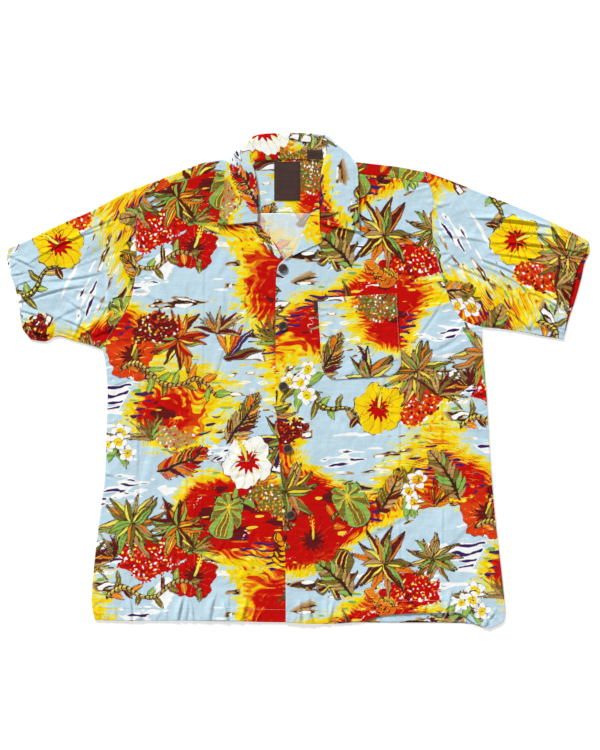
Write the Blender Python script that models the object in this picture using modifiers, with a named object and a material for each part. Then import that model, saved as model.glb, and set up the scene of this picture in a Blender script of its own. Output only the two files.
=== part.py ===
"""Short-sleeved camp-collar shirt, buttoned and laid flat on its back.

Left and right are the wearer's. The shirt is seen from above its front, with the collar towards +Y, so the
wearer's left lies at +X. The origin is on the surface it lies on, under the middle of the whole outline.
Tables and sizes are in millimetres, and a mesh is turned into metres when it is made.
"""

import math

import bmesh
import bpy
import numpy as np

MM = 0.001

# Cloth and stacking, from the surface up
WALL = 1.2  # one layer of cloth with its seam allowances
LAYER_GAP = 0.4  # air between layers that lie on each other
SEAM_GAP = 0.35  # air between pieces that meet edge to edge
BACK_Z = WALL / 2  # middle of the layer that lies on the surface
FRONT_Z = BACK_Z + WALL + LAYER_GAP  # middle of the layer on top of it
LAP_RISE = WALL + LAYER_GAP  # how much the left front is lifted where it laps the right one
STAND_Z = FRONT_Z + WALL + LAYER_GAP  # collar stand, hidden under the wings
FALL_Z = STAND_Z + 1.8  # collar wings
BAND_Z = FRONT_Z + 0.1  # collar seam on the yoke
FOLD_RADIUS = (FRONT_Z - BACK_Z) / 2  # middle of the wall where a layer turns over into the next

# Heights and places that several pieces share, measured from the middle of the outline
YOKE_SEAM_Y = 265.0
FORWARD_SEAM_DROP = 18.0  # shoulder seam, forward of the shoulder fold
NECK_X = -12.0  # middle of the neck
LAP_EDGE_X = (16.0, 44.0)  # the left front's lift dies away between these
LAP_TOP_Y = (195.0, 235.0)  # and between these, above the V

# Side seams from the hem up to the armpit
#             x     y
RIGHT_SIDE = [(-322, -379), (-327, -347), (-323, -290), (-313, -205), (-306, -150), (-303, -60),
              (-302, -15), (-306, 32), (-311, 51)]
LEFT_SIDE = [(325, -381), (327, -365), (325, -340), (319, -284), (311, -215), (303, -120),
             (298, -31), (292, 40), (289, 85)]

# Armholes from the armpit up to the shoulder fold
#                x     y
RIGHT_ARMHOLE = [(-311, 51), (-291, 85), (-272, 112), (-260, 150), (-256, 195), (-257, 230),
                 (-254, 270), (-235, 311)]
LEFT_ARMHOLE = [(289, 85), (260, 96), (241, 123), (226, 170), (214, 215), (211, 255),
                (213, 290), (199, 330)]

# Shoulder fold from the armhole to the neck, where it is hidden under the collar
#                 x     y
RIGHT_SHOULDER = [(-235, 311), (-199, 326), (-173, 336), (-146, 346), (-122, 349.5), (-104, 346), (-84, 345)]
LEFT_SHOULDER = [(199, 330), (178, 334), (156, 338), (105, 344), (82, 346), (60, 346)]

# Hems, from the right side seam to the left one
#             x     y
BACK_HEM = [(-322, -379), (-200, -380), (-21, -382), (121, -383), (259, -384), (296, -391), (325, -381)]
RIGHT_HEM = [(-322, -379), (-262, -380), (-123, -380), (-60, -382), (10, -383)]
LEFT_HEM = [(-20, -383), (50, -385), (97, -381), (129, -373.5), (150, -370.6), (186, -368), (221, -368),
            (253, -368), (278, -383.5), (299, -392), (311, -389), (325, -381)]

# Front edges, from the hem up to the shoulder beside the neck. The left one shows down to the hem, and the
# right one is hidden under it below the V.
#             x     y
LEFT_EDGE = [(-20, -383), (-21, -284), (-25, -221), (-30, -120), (-36, -31), (-36, 60), (-36, 143), (-33, 178),
             (-24, 190), (-6, 203), (4, 226), (12, 248), (24, 270), (36, 295), (44, 312), (45, 328)]
RIGHT_EDGE = [(10, -383), (4, -284), (0, -150), (-2, -31), (-2, 100), (-4, 150), (-13, 178),
              (-24, 194), (-40, 222), (-62, 247), (-74, 268), (-80, 300), (-84, 327)]

# Back neckline, from the right shoulder to the left one
#                x    y
BACK_NECKLINE = [(-84, 345), (-74, 348), (-50, 350), (-12, 352), (26, 350), (50, 348), (60, 346)]

# Sleeves: upper and underarm edges from the body out to the cuff, cuffs from the upper edge down
#                      x     y
RIGHT_SLEEVE_UPPER = [(-235, 311), (-275, 295), (-325, 268), (-376, 246), (-427, 221), (-459, 208)]
RIGHT_SLEEVE_LOWER = [(-311, 51), (-330, 57), (-351, 63), (-376, 71), (-389, 69), (-401, 63), (-424, 66)]
RIGHT_CUFF = [(-459, 208), (-461, 192), (-455, 168), (-447, 143), (-441, 112), (-437, 84), (-424, 66)]
LEFT_SLEEVE_UPPER = [(199, 330), (245, 313), (295, 293), (346, 273), (397, 251), (459, 219)]
LEFT_SLEEVE_LOWER = [(289, 85), (333, 81), (384, 72), (419, 66)]
LEFT_CUFF = [(459, 219), (455, 202), (443, 181), (436, 160), (430, 132), (425, 100), (419, 66)]
LEFT_UNDER_CUFF = [(459, 219), (460.5, 203), (453, 186), (447, 159), (438, 127), (428, 98), (419, 66)]
SLEEVE_PUFF = 0.5  # air in the middle of a sleeve

# Largest folds: a soft ridge along a line, in the top layer only
#        x0    y0    x1    y1  half_width  height
RIGHT_FRONT_FOLDS = [
    (-286, -360, -272, -60, 24, 1.3),
    (-186, -350, -176, -90, 26, 0.9),
    (-120, -376, -96, -230, 24, 1.0),
    (-292, 40, -180, 20, 24, 1.1),
    (-90, 200, -170, 90, 26, 0.8),
]
LEFT_FRONT_FOLDS = [
    (290, -340, 276, -20, 24, 1.3),
    (176, -362, 168, -120, 26, 1.0),
    (232, -366, 226, -240, 24, 1.6),
    (268, 66, 150, 40, 24, 1.1),
    (170, 300, 190, 190, 24, 0.8),
]
RIGHT_SLEEVE_FOLDS = [
    (-300, 90, -390, 150, 20, 1.2),
    (-265, 250, -420, 200, 22, 1.0),
    (-330, 80, -420, 90, 16, 1.2),
]
LEFT_SLEEVE_FOLDS = [
    (240, 280, 430, 210, 18, 1.2),
    (250, 220, 430, 165, 18, 1.1),
    (270, 140, 400, 90, 20, 1.2),
]

# Collar cross-sections from the right wing's front edge round the neck to the left wing's. The seam is where it
# is sewn on, the crest is the collar's fold line, and the rim is the outer edge of a wing or, behind the
# shoulder, the line where the fall turns under.
#    form    seam_x seam_y crest_x crest_y rim_x rim_y
COLLAR = [
    ("wing", -75, 250, -65, 251, -128.5, 243.8),
    ("wing", -74, 272, -63.5, 271, -124, 268.5),
    ("wing", -74, 298, -64, 298, -118, 292),
    ("wing", -79, 328, -69, 330, -117.5, 322),
    ("wing", -84, 342, -75, 345, -115, 345),
    ("ridge", -70, 346, -78, 356, -104, 358),
    ("ridge", -61, 347.5, -76, 368, -91, 368),
    ("ridge", -52, 348.5, -73, 377, -80, 381),
    ("top", -42, 349, -66, 381, -70, 387),
    ("top", -32, 349.5, -54, 384, -56, 390),
    ("top", -22, 350, -33, 385, -34, 391),
    ("top", -12, 350, -12, 385, -12, 391.2),
    ("top", -2, 350, 9, 385, 10, 391),
    ("top", 8, 349.5, 30, 384, 32, 390),
    ("top", 18, 349, 42, 381, 46, 387),
    ("ridge", 28, 348.5, 46, 376, 56, 379),
    ("ridge", 33, 348, 44, 366, 68, 367),
    ("ridge", 35, 347, 42, 356, 81, 358),
    ("wing", 50, 342, 40, 345, 92, 346),
    ("wing", 45, 326, 35, 326, 95, 324),
    ("wing", 45, 298, 35, 298, 95.5, 290),
    ("wing", 45.5, 271, 35.3, 271, 96, 262),
    ("wing", 46.5, 248, 36, 248, 96.7, 235),
]
FALL_EDGE_Y = 355.2  # edge of the fall, turned under behind the neck
FALL_TAPER = 0.96  # how much narrower its edge is than the fold above it
WING_TIP_LIFT = 1.8
LIFTED_ROWS = 3  # rows from a wing's front edge over which its lift dies away
FOLD_HOLD = 2.4  # how near a fold its neighbouring guide lines run
HOLD_SHARE = 0.45  # the most of a short panel that the neighbouring line may take

# Shares of a wing from its crest to its rim at which the guide lines run
WING_SHARES = (0.35, 0.6, 0.8, 0.9, 0.96)

# Heights of the collar's guide lines: seam, before and after the crest, the fall, before and after the rim, edge
COLLAR_HEIGHTS = {
    "wing": (STAND_Z, STAND_Z, STAND_Z, FALL_Z, FALL_Z, FALL_Z, FALL_Z, FALL_Z, FALL_Z, FALL_Z, FALL_Z),
    "ridge": (BAND_Z, 3.2, 4.0, 4.2, 4.2, 4.0, 3.6, 3.2, BACK_Z, BACK_Z, BACK_Z),
    "top": (BAND_Z, 3.0, 3.2, 3.2, 3.1, 3.0, 2.8, 2.6, BACK_Z, BACK_Z, BACK_Z),
}
CREST_LINES = 5  # guide lines up to the crest, which the lift of a tip leaves alone

# Turned-out lapel facings, from the V up: their -X edge and their +X edge
#             x0   y0     x1   y1
LEFT_LAPEL = [
    (-22, 191.5, -18, 193),
    (-11, 198, 1, 202),
    (-3, 209, 20, 211),
    (3, 225, 37, 220),
    (10, 244, 34, 240),
    (17, 258, 33.5, 262),
    (22.5, 270, 33, 278),
    (27, 284, 33, 292),
]
RIGHT_LAPEL = [
    (-32, 193, -25, 193),
    (-46, 206, -33, 207),
    (-58, 221, -42, 222),
    (-67, 234, -53, 234),
    (-72, 243, -63, 243),
]

# Patch pocket on the left chest
POCKET_WIDTH = 126.0
POCKET_HEIGHT = 130.0
POCKET_CORNER = 24.0
POCKET_CENTRE = (97.0, 69.0)
POCKET_TILT = math.radians(3.6)
POCKET_TAB = (6.0, 19.0)
POCKET_TAB_DROP = 3.0  # from the pocket's upper edge

# Woven labels, with nothing woven into them
NECK_LABEL = (41.0, 62.0)
NECK_LABEL_CENTRE = (-18.0, 315.5)
SIZE_TAB = (24.0, 15.0)
SIZE_TAB_CENTRE = (25.5, 357.2)
SIZE_TAB_RISE = 0.7  # how much the band lifts it towards the collar's top fold
SIZE_TAB_RISE_Y = (350.0, 362.0)
SIZE_TAB_TURN = 1.4  # and towards the left roll line
SIZE_TAB_TURN_X = (24.0, 38.0)
LABEL_WALL = 0.8
LABEL_CORNER = 0.5

BUTTON_RADIUS = 7.5
BUTTON_THICKNESS = 2.4
BUTTON_DISH_DEPTH = 0.7
BUTTON_DISH_RADIUS = 4.6
BUTTON_ROUNDING = 0.9
BUTTON_WAIST = 0.62  # share of the thickness at which the button is widest
BUTTON_SIDES = 20
BUTTON_HOLE_RADIUS = 0.85
BUTTON_HOLE_PITCH = 1.7  # from the button's middle to a hole's middle, along X and Y
BUTTON_HOLE_SIDES = 8
#          x     y
BUTTONS = [(-24.5, 177), (-24.5, 86), (-24, -9.5), (-17, -108), (-12, -213)]

# Grid counts
SIDE_ROWS = 13
ARMHOLE_ROWS = 7
FRONT_COLUMNS = 12
BACK_COLUMNS = 12
NECK_COLUMNS = 8
SLEEVE_STEPS = 11
COLLAR_STEPS = 36
COLLAR_SAMPLES = 17
LAPEL_COLUMNS = 4
POCKET_CELLS = 10
LABEL_CELLS = 4
FOLD_STEPS = 3  # points between the two layers where a sleeve turns over
CURVE_STEPS = 12  # points on each stretch of a smooth curve
FINE_STEPS = 200  # points on a curve that is looked up by height

PRINT_COLOUR = (0.66, 0.33, 0.12)
LABEL_COLOUR = (0.055, 0.030, 0.024)
BUTTON_COLOUR = (0.060, 0.040, 0.028)
CLOTH_ROUGHNESS = 0.8
BUTTON_ROUGHNESS = 0.35
SHARP_ANGLE = math.radians(40)


def along(line):
    """Distance of each point of a polyline from its first point, in plan."""
    return np.concatenate([[0], np.cumsum(np.linalg.norm(np.diff(line[:, :2], axis=0), axis=1))])


def sampled(line, distances):
    """Points of a polyline at the given distances from its first point."""
    length = along(line)
    return np.stack([np.interp(distances, length, column) for column in line.T], axis=1)


def smooth(points, count):
    """Resample a Catmull-Rom curve through points at count even steps of its length."""
    p = np.asarray(points, dtype=float)
    p = np.vstack([2 * p[0] - p[1], p, 2 * p[-1] - p[-2]])
    t = np.linspace(0, 1, CURVE_STEPS, endpoint=False)[:, None]
    spans = []
    for a, b, c, d in zip(p[:-3], p[1:-2], p[2:-1], p[3:]):
        bend = 2 * a - 5 * b + 4 * c - d + t * (3 * (b - c) + d - a)
        spans.append(b + 0.5 * t * (c - a + t * bend))
    line = np.vstack(spans + [p[-2:-1]])
    return sampled(line, np.linspace(0, along(line)[-1], count))


def at_heights(points, heights):
    """Points of a rising curve at the given y values."""
    line = smooth(points, FINE_STEPS)
    return np.stack([np.interp(heights, line[:, 1], line[:, 0]), heights], axis=1)


def patch(bottom, left, right, top):
    """Fill four edge curves with a Coons grid, rows from bottom to top and columns from left to right."""
    s = np.linspace(0, 1, len(bottom))[None, :, None]
    t = np.linspace(0, 1, len(left))[:, None, None]
    across = (1 - s) * left[:, None] + s * right[:, None]
    upward = (1 - t) * bottom[None] + t * top[None]
    corners = ((1 - t) * ((1 - s) * bottom[0] + s * bottom[-1])
               + t * ((1 - s) * top[0] + s * top[-1]))
    return across + upward - corners


def ease(low, high, value):
    """Rise from 0 at low to 1 at high with level ends."""
    f = np.clip((value - low) / (high - low), 0, 1)
    return f * f * (3 - 2 * f)


def ridges(grid, folds):
    """Height that the folds add at each point of a plan grid."""
    rise = np.zeros(grid.shape[:-1])
    for x0, y0, x1, y1, half_width, height in folds:
        start, run = np.array([x0, y0]), np.array([x1 - x0, y1 - y0])
        f = ((grid - start) @ run) / (run @ run)
        foot = start + np.clip(f, 0, 1)[..., None] * run
        distance = np.linalg.norm(grid - foot, axis=-1)
        rise += height * np.exp(-(distance / half_width) ** 2)
    return rise


def lift(grid, z):
    """Give a plan grid its heights."""
    return np.concatenate([grid, np.broadcast_to(z, grid.shape[:-1])[..., None]], axis=-1)


def armhole(points):
    """The corners of an armhole seam, which every piece that meets there shares."""
    fold = points[-1][1]
    heights = np.concatenate([
        np.linspace(points[0][1], YOKE_SEAM_Y, ARMHOLE_ROWS + 1),
        [fold - FORWARD_SEAM_DROP, fold],
    ])
    return at_heights(points, heights)


def finish_material(name, colour, roughness):
    """A plain Principled finish."""
    material = bpy.data.materials.new(name)
    material.use_nodes = True
    shader = material.node_tree.nodes["Principled BSDF"]
    shader.inputs["Base Color"].default_value = (*colour, 1.0)
    shader.inputs["Roughness"].default_value = roughness
    shader.inputs["Metallic"].default_value = 0.0
    return material


def add_object(name, mesh, colour, roughness):
    """Put a mesh in the shirt's collection with its own material."""
    mesh.materials.append(finish_material(name + "_finish", colour, roughness))
    piece = bpy.data.objects.new(name, mesh)
    shirt.objects.link(piece)
    return piece


def cloth(name, grid, wall=WALL, side=0.0, tube=False, colour=PRINT_COLOUR):
    """A sheet through a grid of points in mm, given its wall by Solidify.

    side is 0 for a wall about the grid and 1 for a wall above it. A tube's columns close on themselves.
    """
    rows, columns = grid.shape[:2]
    number = np.arange(rows * columns).reshape(rows, columns)
    if tube:
        number = np.hstack([number, number[:, :1]])
    faces = np.stack([number[:-1, :-1], number[:-1, 1:], number[1:, 1:], number[1:, :-1]], axis=-1)
    mesh = bpy.data.meshes.new(name)
    mesh.from_pydata((grid.reshape(-1, 3) * MM).tolist(), [], faces.reshape(-1, 4).tolist())
    mesh.update()
    mesh.shade_smooth()
    mesh.set_sharp_from_angle(angle=SHARP_ANGLE)
    piece = add_object(name, mesh, colour, CLOTH_ROUGHNESS)
    shell = piece.modifiers.new("Wall", "SOLIDIFY")
    shell.thickness = wall * MM
    shell.offset = side


def hem_to_seam(side, arm, top_row):
    """Outer edge of a panel: up the side seam, then up the armhole to one of its rows."""
    seam_heights = np.linspace(side[0][1], side[-1][1], SIDE_ROWS + 1)
    return np.vstack([at_heights(side, seam_heights), arm[1:top_row]])


def spread(edge, heights):
    """Points of an edge curve at heights in the same proportion as those given."""
    low, high = edge[0][1], edge[-1][1]
    share = (heights - heights[0]) / (heights[-1] - heights[0])
    return at_heights(edge, low + share * (high - low))


def forward_seam(shoulder, arm):
    """Forward shoulder seam from the armhole to the neck, and the shoulder fold above it."""
    fold = smooth(shoulder, FRONT_COLUMNS + 1)
    seam = fold - (0, FORWARD_SEAM_DROP)
    seam[0] = arm[-2]
    return seam, fold


def front_plan(side, arm, edge, hem, shoulder, is_right):
    """Plan grid of a front, columns running from the smaller x to the larger."""
    outer = hem_to_seam(side, arm, -1)
    inner = spread(edge, outer[:, 1])
    seam, _ = forward_seam(shoulder, arm)
    inner[-1] = seam[-1]
    for line in (outer[-1:], inner[-1:], seam):
        line[:, 1] -= SEAM_GAP
    hem_line = smooth(hem, FRONT_COLUMNS + 1)
    if is_right:
        return patch(hem_line, outer, inner, seam)
    return patch(hem_line, inner, outer, seam[::-1])


def lap(grid):
    """Lift of the left front over the hidden edge of the right one."""
    return LAP_RISE * (1 - ease(*LAP_EDGE_X, grid[..., 0])) * (1 - ease(*LAP_TOP_Y, grid[..., 1]))


def right_front_z(grid):
    """Middle height of the right front's wall."""
    return FRONT_Z + ridges(grid, RIGHT_FRONT_FOLDS)


def left_front_z(grid):
    """Middle height of the left front's wall."""
    return FRONT_Z + lap(grid) + ridges(grid, LEFT_FRONT_FOLDS)


def on_left_front(grid):
    """Height just above the left front."""
    return left_front_z(grid) + WALL / 2 + LAYER_GAP


def on_right_front(grid):
    """Height just above the right front."""
    return right_front_z(grid) + WALL / 2 + LAYER_GAP


def make_back():
    """Back panel, flat on the surface, up to the yoke seam."""
    right = hem_to_seam(RIGHT_SIDE, right_arm, ARMHOLE_ROWS + 1)
    left = hem_to_seam(LEFT_SIDE, left_arm, ARMHOLE_ROWS + 1)
    top = np.linspace(right[-1], left[-1], BACK_COLUMNS + 1)
    grid = patch(smooth(BACK_HEM, BACK_COLUMNS + 1), right, left, top)
    grid[-1, :, 1] -= SEAM_GAP
    cloth("back", lift(grid, 0.0), side=1.0)


def shoulder_column(foot, seam, fold):
    """The yoke's points from the back seam up to the shoulder fold, round it and down to the forward seam."""
    turn = fold - (0, WALL / 2)
    plan = [foot, (foot + seam) / 2, seam, turn - (0, FOLD_RADIUS), turn, turn - (0, FOLD_RADIUS),
            (fold + seam) / 2, seam]
    heights = [BACK_Z] * 4 + [BACK_Z + FOLD_RADIUS] + [FRONT_Z] * 3
    return np.column_stack([plan, heights])


def neck_column(foot, neck):
    """The yoke's points from the back seam up to the neckline."""
    shares = np.array([0, 0.3, 0.55, 0.75, 0.85, 0.92, 0.96, 1.0])[:, None]
    return lift(foot + shares * (neck - foot), BACK_Z)


def make_yoke():
    """Yoke, folded forward over both shoulders and cut away at the back of the neck."""
    right_seam, right_fold = forward_seam(RIGHT_SHOULDER, right_arm)
    left_seam, left_fold = forward_seam(LEFT_SHOULDER, left_arm)
    neck = smooth(BACK_NECKLINE, NECK_COLUMNS + 1)[1:-1]
    tops = np.vstack([right_fold, neck, left_fold[::-1]])
    share = (tops[:, :1] - tops[0, 0]) / (tops[-1, 0] - tops[0, 0])
    feet = right_arm[ARMHOLE_ROWS] * (1 - share) + left_arm[ARMHOLE_ROWS] * share
    across_right, across_neck, across_left = np.split(feet, [len(right_fold), len(right_fold) + len(neck)])
    columns = [shoulder_column(*ends) for ends in zip(across_right, right_seam, right_fold)]
    columns += [neck_column(*ends) for ends in zip(across_neck, neck)]
    columns += [shoulder_column(*ends) for ends in zip(across_left, left_seam[::-1], left_fold[::-1])]
    cloth("yoke", np.stack(columns, axis=1))


def sleeve_layer(seam, shares, upper, lower, cuff):
    """Plan of one layer of a sleeve: rows from the armhole to the cuff, columns from the underarm up."""
    line = smooth(cuff, FINE_STEPS)[::-1]
    cuff_edge = sampled(line, shares * along(line)[-1])
    under = smooth(lower, SLEEVE_STEPS + 1)
    over = smooth(upper, SLEEVE_STEPS + 1)
    under[0], over[0] = seam[0], seam[-1]
    return patch(under, seam, cuff_edge, over).transpose(1, 0, 2)


def sleeve_turn(top, edge, neighbour, order):
    """Points round a sleeve's folded edge, downwards for order 1 and upwards for order -1."""
    out = top[:, edge] - top[:, neighbour]
    out /= np.linalg.norm(out, axis=1)[:, None]
    angles = np.linspace(0, math.pi, FOLD_STEPS + 2)[1:-1]
    plan = top[:, None, edge] + out[:, None] * FOLD_RADIUS * np.sin(angles)[:, None]
    return lift(plan, BACK_Z + FOLD_RADIUS * (1 + order * np.cos(angles)))


def sleeve_grid(arm, upper, lower, cuff, under_cuff, folds, outward):
    """Mid-wall grid of a sleeve: rows from the armhole to the cuff, columns round the tube."""
    seam = arm + np.array([outward * SEAM_GAP, 0])
    shares = along(seam) / along(seam)[-1]
    top = sleeve_layer(seam, shares, upper, lower, cuff)
    below = sleeve_layer(seam, shares, upper, lower, under_cuff)
    edge_share = np.minimum(shares, 1 - shares)[None, :]
    way_out = np.linspace(0, math.pi, SLEEVE_STEPS + 1)[:, None]
    puff = SLEEVE_PUFF * np.sin(way_out) * ease(0.0, 0.3, edge_share)
    top_z = FRONT_Z + puff + ridges(top, folds) * ease(0.0, 0.12, edge_share)
    return np.concatenate([
        lift(top, top_z),
        sleeve_turn(top, -1, -2, 1),
        lift(below, BACK_Z)[:, ::-1],
        sleeve_turn(top, 0, 1, -1),
    ], axis=1)


def make_sleeves():
    """Both sleeves, tubes pressed flat, set in at the armholes."""
    right = sleeve_grid(right_arm, RIGHT_SLEEVE_UPPER, RIGHT_SLEEVE_LOWER, RIGHT_CUFF, RIGHT_CUFF,
                        RIGHT_SLEEVE_FOLDS, -1)
    left = sleeve_grid(left_arm, LEFT_SLEEVE_UPPER, LEFT_SLEEVE_LOWER, LEFT_CUFF, LEFT_UNDER_CUFF,
                       LEFT_SLEEVE_FOLDS, 1)
    cloth("sleeve_right", right[:, ::-1], tube=True)
    cloth("sleeve_left", left, tube=True)


def b_spline_weights(guides, samples):
    """Weights of a clamped quadratic B-spline with the given number of guide points."""
    knots = np.concatenate([[0, 0], np.linspace(0, 1, guides - 1), [1, 1]])
    t = np.linspace(0, 1, samples).clip(0, 1 - 1e-9)[:, None]
    weights = ((knots[:-1] <= t) & (t < knots[1:])).astype(float)
    for degree in (1, 2):
        near, far = knots[:-degree - 1], knots[degree:-1]
        rising = np.divide(t - near, far - near, out=np.zeros((samples, len(near))), where=far > near)
        near, far = knots[1:-degree], knots[degree + 1:]
        falling = np.divide(far - t, far - near, out=np.zeros((samples, len(near))), where=far > near)
        weights = rising * weights[:, :-1] + falling * weights[:, 1:]
    return weights


def toward(start, end, distance):
    """The point a short distance from start towards end."""
    step = end - start
    return start + step * min(distance / np.linalg.norm(step), HOLD_SHARE)


def collar_row(form, places, tip_lift):
    """Guide points of one cross-section of the collar, from the seam over the crest to the fall's edge."""
    seam, crest, rim = np.reshape(places, (3, 2)).astype(float)
    if form == "wing":
        plan = [seam, toward(crest, seam, FOLD_HOLD), crest, crest, toward(crest, rim, FOLD_HOLD)]
        plan += [crest + (rim - crest) * share for share in WING_SHARES] + [rim]
    else:
        edge = np.array([NECK_X + (rim[0] - NECK_X) * FALL_TAPER, FALL_EDGE_Y])
        before = toward(rim, crest, FOLD_HOLD)
        plan = [seam, (seam + crest) / 2, toward(crest, seam, FOLD_HOLD), crest, (crest * 2 + before) / 3,
                (crest + before * 2) / 3, before, rim, rim, toward(rim, edge, FOLD_HOLD), edge]
    outward = np.linspace(0, 1, len(plan) - CREST_LINES) ** 1.5
    heights = np.array(COLLAR_HEIGHTS[form]) + tip_lift * np.concatenate([np.zeros(CREST_LINES), outward])
    return np.column_stack([plan, heights])


def make_collar():
    """Collar: one folded sheet from wing to wing round the neck."""
    last = len(COLLAR) - 1
    net = []
    for k, (form, *places) in enumerate(COLLAR):
        tip_lift = WING_TIP_LIFT * (1 - ease(0, LIFTED_ROWS, min(k, last - k)))
        net.append(collar_row(form, places, tip_lift))
    round_neck = b_spline_weights(len(net), COLLAR_STEPS + 1)
    across = b_spline_weights(len(net[0]), COLLAR_SAMPLES)
    cloth("collar", np.einsum("rn,sg,ngc->rsc", round_neck, across, np.array(net)))


def make_lapels():
    """Turned-out facings of the two fronts, lying on them beside the V."""
    share = np.linspace(0, 1, LAPEL_COLUMNS + 1)[None, :, None]
    for name, table, height in (("facing_left", LEFT_LAPEL, on_left_front),
                                ("facing_right", RIGHT_LAPEL, on_right_front)):
        rows = smooth(table, 2 * len(table) - 1)
        grid = rows[:, None, :2] * (1 - share) + rows[:, None, 2:] * share
        cloth(name, lift(grid, height(grid)), side=1.0)


def rounded_plan(width, height, corner, cells):
    """Grid of a rectangle whose two lower corners are rounded."""
    across = np.linspace(-1, 1, cells + 1)[None, :]
    upward = np.linspace(-1, 1, cells + 1)[:, None]
    x = across * width / 2 + 0 * upward
    inset = np.maximum(np.abs(x) - (width / 2 - corner), 0) / corner
    low = -height / 2 + corner * (1 - np.sqrt(np.clip(1 - inset ** 2, 0, 1)))
    return np.stack([x, low + (height / 2 - low) * (upward + 1) / 2], axis=-1)


def turned(grid, angle, centre):
    """Turn a plan grid about its middle and place it."""
    c, s = math.cos(angle), math.sin(angle)
    return grid @ np.array([[c, s], [-s, c]]) + np.array(centre)


def make_pocket():
    """Patch pocket on the left front and the small tab caught in its inner side."""
    plan = turned(rounded_plan(POCKET_WIDTH, POCKET_HEIGHT, POCKET_CORNER, POCKET_CELLS),
                  POCKET_TILT, POCKET_CENTRE)
    cloth("pocket", lift(plan, on_left_front(plan)), side=1.0)
    width, height = POCKET_TAB
    beside = np.array([-(POCKET_WIDTH + width) / 2 - SEAM_GAP, (POCKET_HEIGHT - height) / 2 - POCKET_TAB_DROP])
    tab = turned(rounded_plan(width, height, LABEL_CORNER, 2) + beside, POCKET_TILT, POCKET_CENTRE)
    cloth("pocket_tab", lift(tab, on_left_front(tab)), wall=LABEL_WALL, side=1.0, colour=LABEL_COLOUR)


def make_labels():
    """Bare woven labels inside the neck."""
    plan = rounded_plan(*NECK_LABEL, LABEL_CORNER, LABEL_CELLS) + np.array(NECK_LABEL_CENTRE)
    cloth("neck_label", lift(plan, WALL + LAYER_GAP), wall=LABEL_WALL, side=1.0, colour=LABEL_COLOUR)
    plan = rounded_plan(*SIZE_TAB, LABEL_CORNER, LABEL_CELLS) + np.array(SIZE_TAB_CENTRE)
    band_top = BAND_Z + WALL / 2 + LAYER_GAP + SIZE_TAB_RISE * ease(*SIZE_TAB_RISE_Y, plan[..., 1])
    band_top = band_top + SIZE_TAB_TURN * ease(*SIZE_TAB_TURN_X, plan[..., 0])
    cloth("size_tab", lift(plan, band_top), wall=LABEL_WALL, side=1.0, colour=LABEL_COLOUR)


def button_drill():
    """Mesh of the four sewing holes of a button."""
    holes = bmesh.new()
    for sx in (-1, 1):
        for sy in (-1, 1):
            made = bmesh.ops.create_cone(
                holes, cap_ends=True, segments=BUTTON_HOLE_SIDES, radius1=BUTTON_HOLE_RADIUS * MM,
                radius2=BUTTON_HOLE_RADIUS * MM, depth=4 * BUTTON_THICKNESS * MM)
            spot = (sx * BUTTON_HOLE_PITCH * MM, sy * BUTTON_HOLE_PITCH * MM, BUTTON_THICKNESS / 2 * MM)
            bmesh.ops.translate(holes, verts=made["verts"], vec=spot)
    mesh = bpy.data.meshes.new("button_drill")
    holes.to_mesh(mesh)
    holes.free()
    return mesh


def make_buttons():
    """Five dished buttons, turned as a profile, with four sewing holes bored through."""
    r, t = BUTTON_RADIUS, BUTTON_THICKNESS
    floor = t - BUTTON_DISH_DEPTH
    profile = [(0, floor), (BUTTON_DISH_RADIUS - BUTTON_ROUNDING, floor), (BUTTON_DISH_RADIUS, t - 0.1),
               (r - BUTTON_ROUNDING, t), (r, t * BUTTON_WAIST), (r - BUTTON_ROUNDING, 0), (0, 0)]
    rim = BUTTON_RADIUS * np.array([(1, 0), (0, 1), (-1, 0), (0, -1), (0, 0)])
    drill_mesh = button_drill()
    for number, place in enumerate(BUTTONS, 1):
        mesh = bpy.data.meshes.new(f"button_{number}")
        mesh.from_pydata([(x * MM, 0, z * MM) for x, z in profile],
                         [(k, k + 1) for k in range(len(profile) - 1)], [])
        button = add_object(f"button_{number}", mesh, BUTTON_COLOUR, BUTTON_ROUGHNESS)
        button.location = np.array([*place, on_left_front(place + rim).max()]) * MM
        turn = button.modifiers.new("Turn", "SCREW")
        turn.steps = turn.render_steps = BUTTON_SIDES
        turn.use_smooth_shade = True
        turn.use_merge_vertices = True
        turn.merge_threshold = 0.00001
        drill = bpy.data.objects.new(f"button_{number}_drill", drill_mesh)
        drill.location = button.location
        drill.hide_render = True
        drill.display_type = "WIRE"
        cutters.objects.link(drill)
        bore = button.modifiers.new("Sewing holes", "BOOLEAN")
        bore.object = drill
        bore.operation = "DIFFERENCE"


for leftover in list(bpy.data.objects):
    bpy.data.objects.remove(leftover)
shirt = bpy.data.collections.new("camp_collar_shirt")
cutters = bpy.data.collections.new("shirt_cutters")
bpy.context.scene.collection.children.link(shirt)
bpy.context.scene.collection.children.link(cutters)

right_arm = armhole(RIGHT_ARMHOLE)
left_arm = armhole(LEFT_ARMHOLE)
make_back()
make_yoke()
right_plan = front_plan(RIGHT_SIDE, right_arm, RIGHT_EDGE, RIGHT_HEM, RIGHT_SHOULDER, is_right=True)
left_plan = front_plan(LEFT_SIDE, left_arm, LEFT_EDGE, LEFT_HEM, LEFT_SHOULDER, is_right=False)
cloth("front_right", lift(right_plan, right_front_z(right_plan)))
cloth("front_left", lift(left_plan, left_front_z(left_plan)))
make_sleeves()
make_collar()
make_lapels()
make_pocket()
make_labels()
make_buttons()
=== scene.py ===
"""Looks of a short-sleeved camp-collar shirt, buttoned and laid flat on its back.

Left and right are the wearer's. The shirt is seen from above its front, with the collar towards +Y, so the
wearer's left lies at +X. Tables and sizes are in millimetres; a mesh is turned into metres when it is made.
Every sheet of cloth is a grid worked out from two shares, one across and one upwards, with a printed skin, a
rolled edge and a plainer inner skin. The print is painted in screens, one for each ink, as signed distances.
"""

from __future__ import annotations

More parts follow.
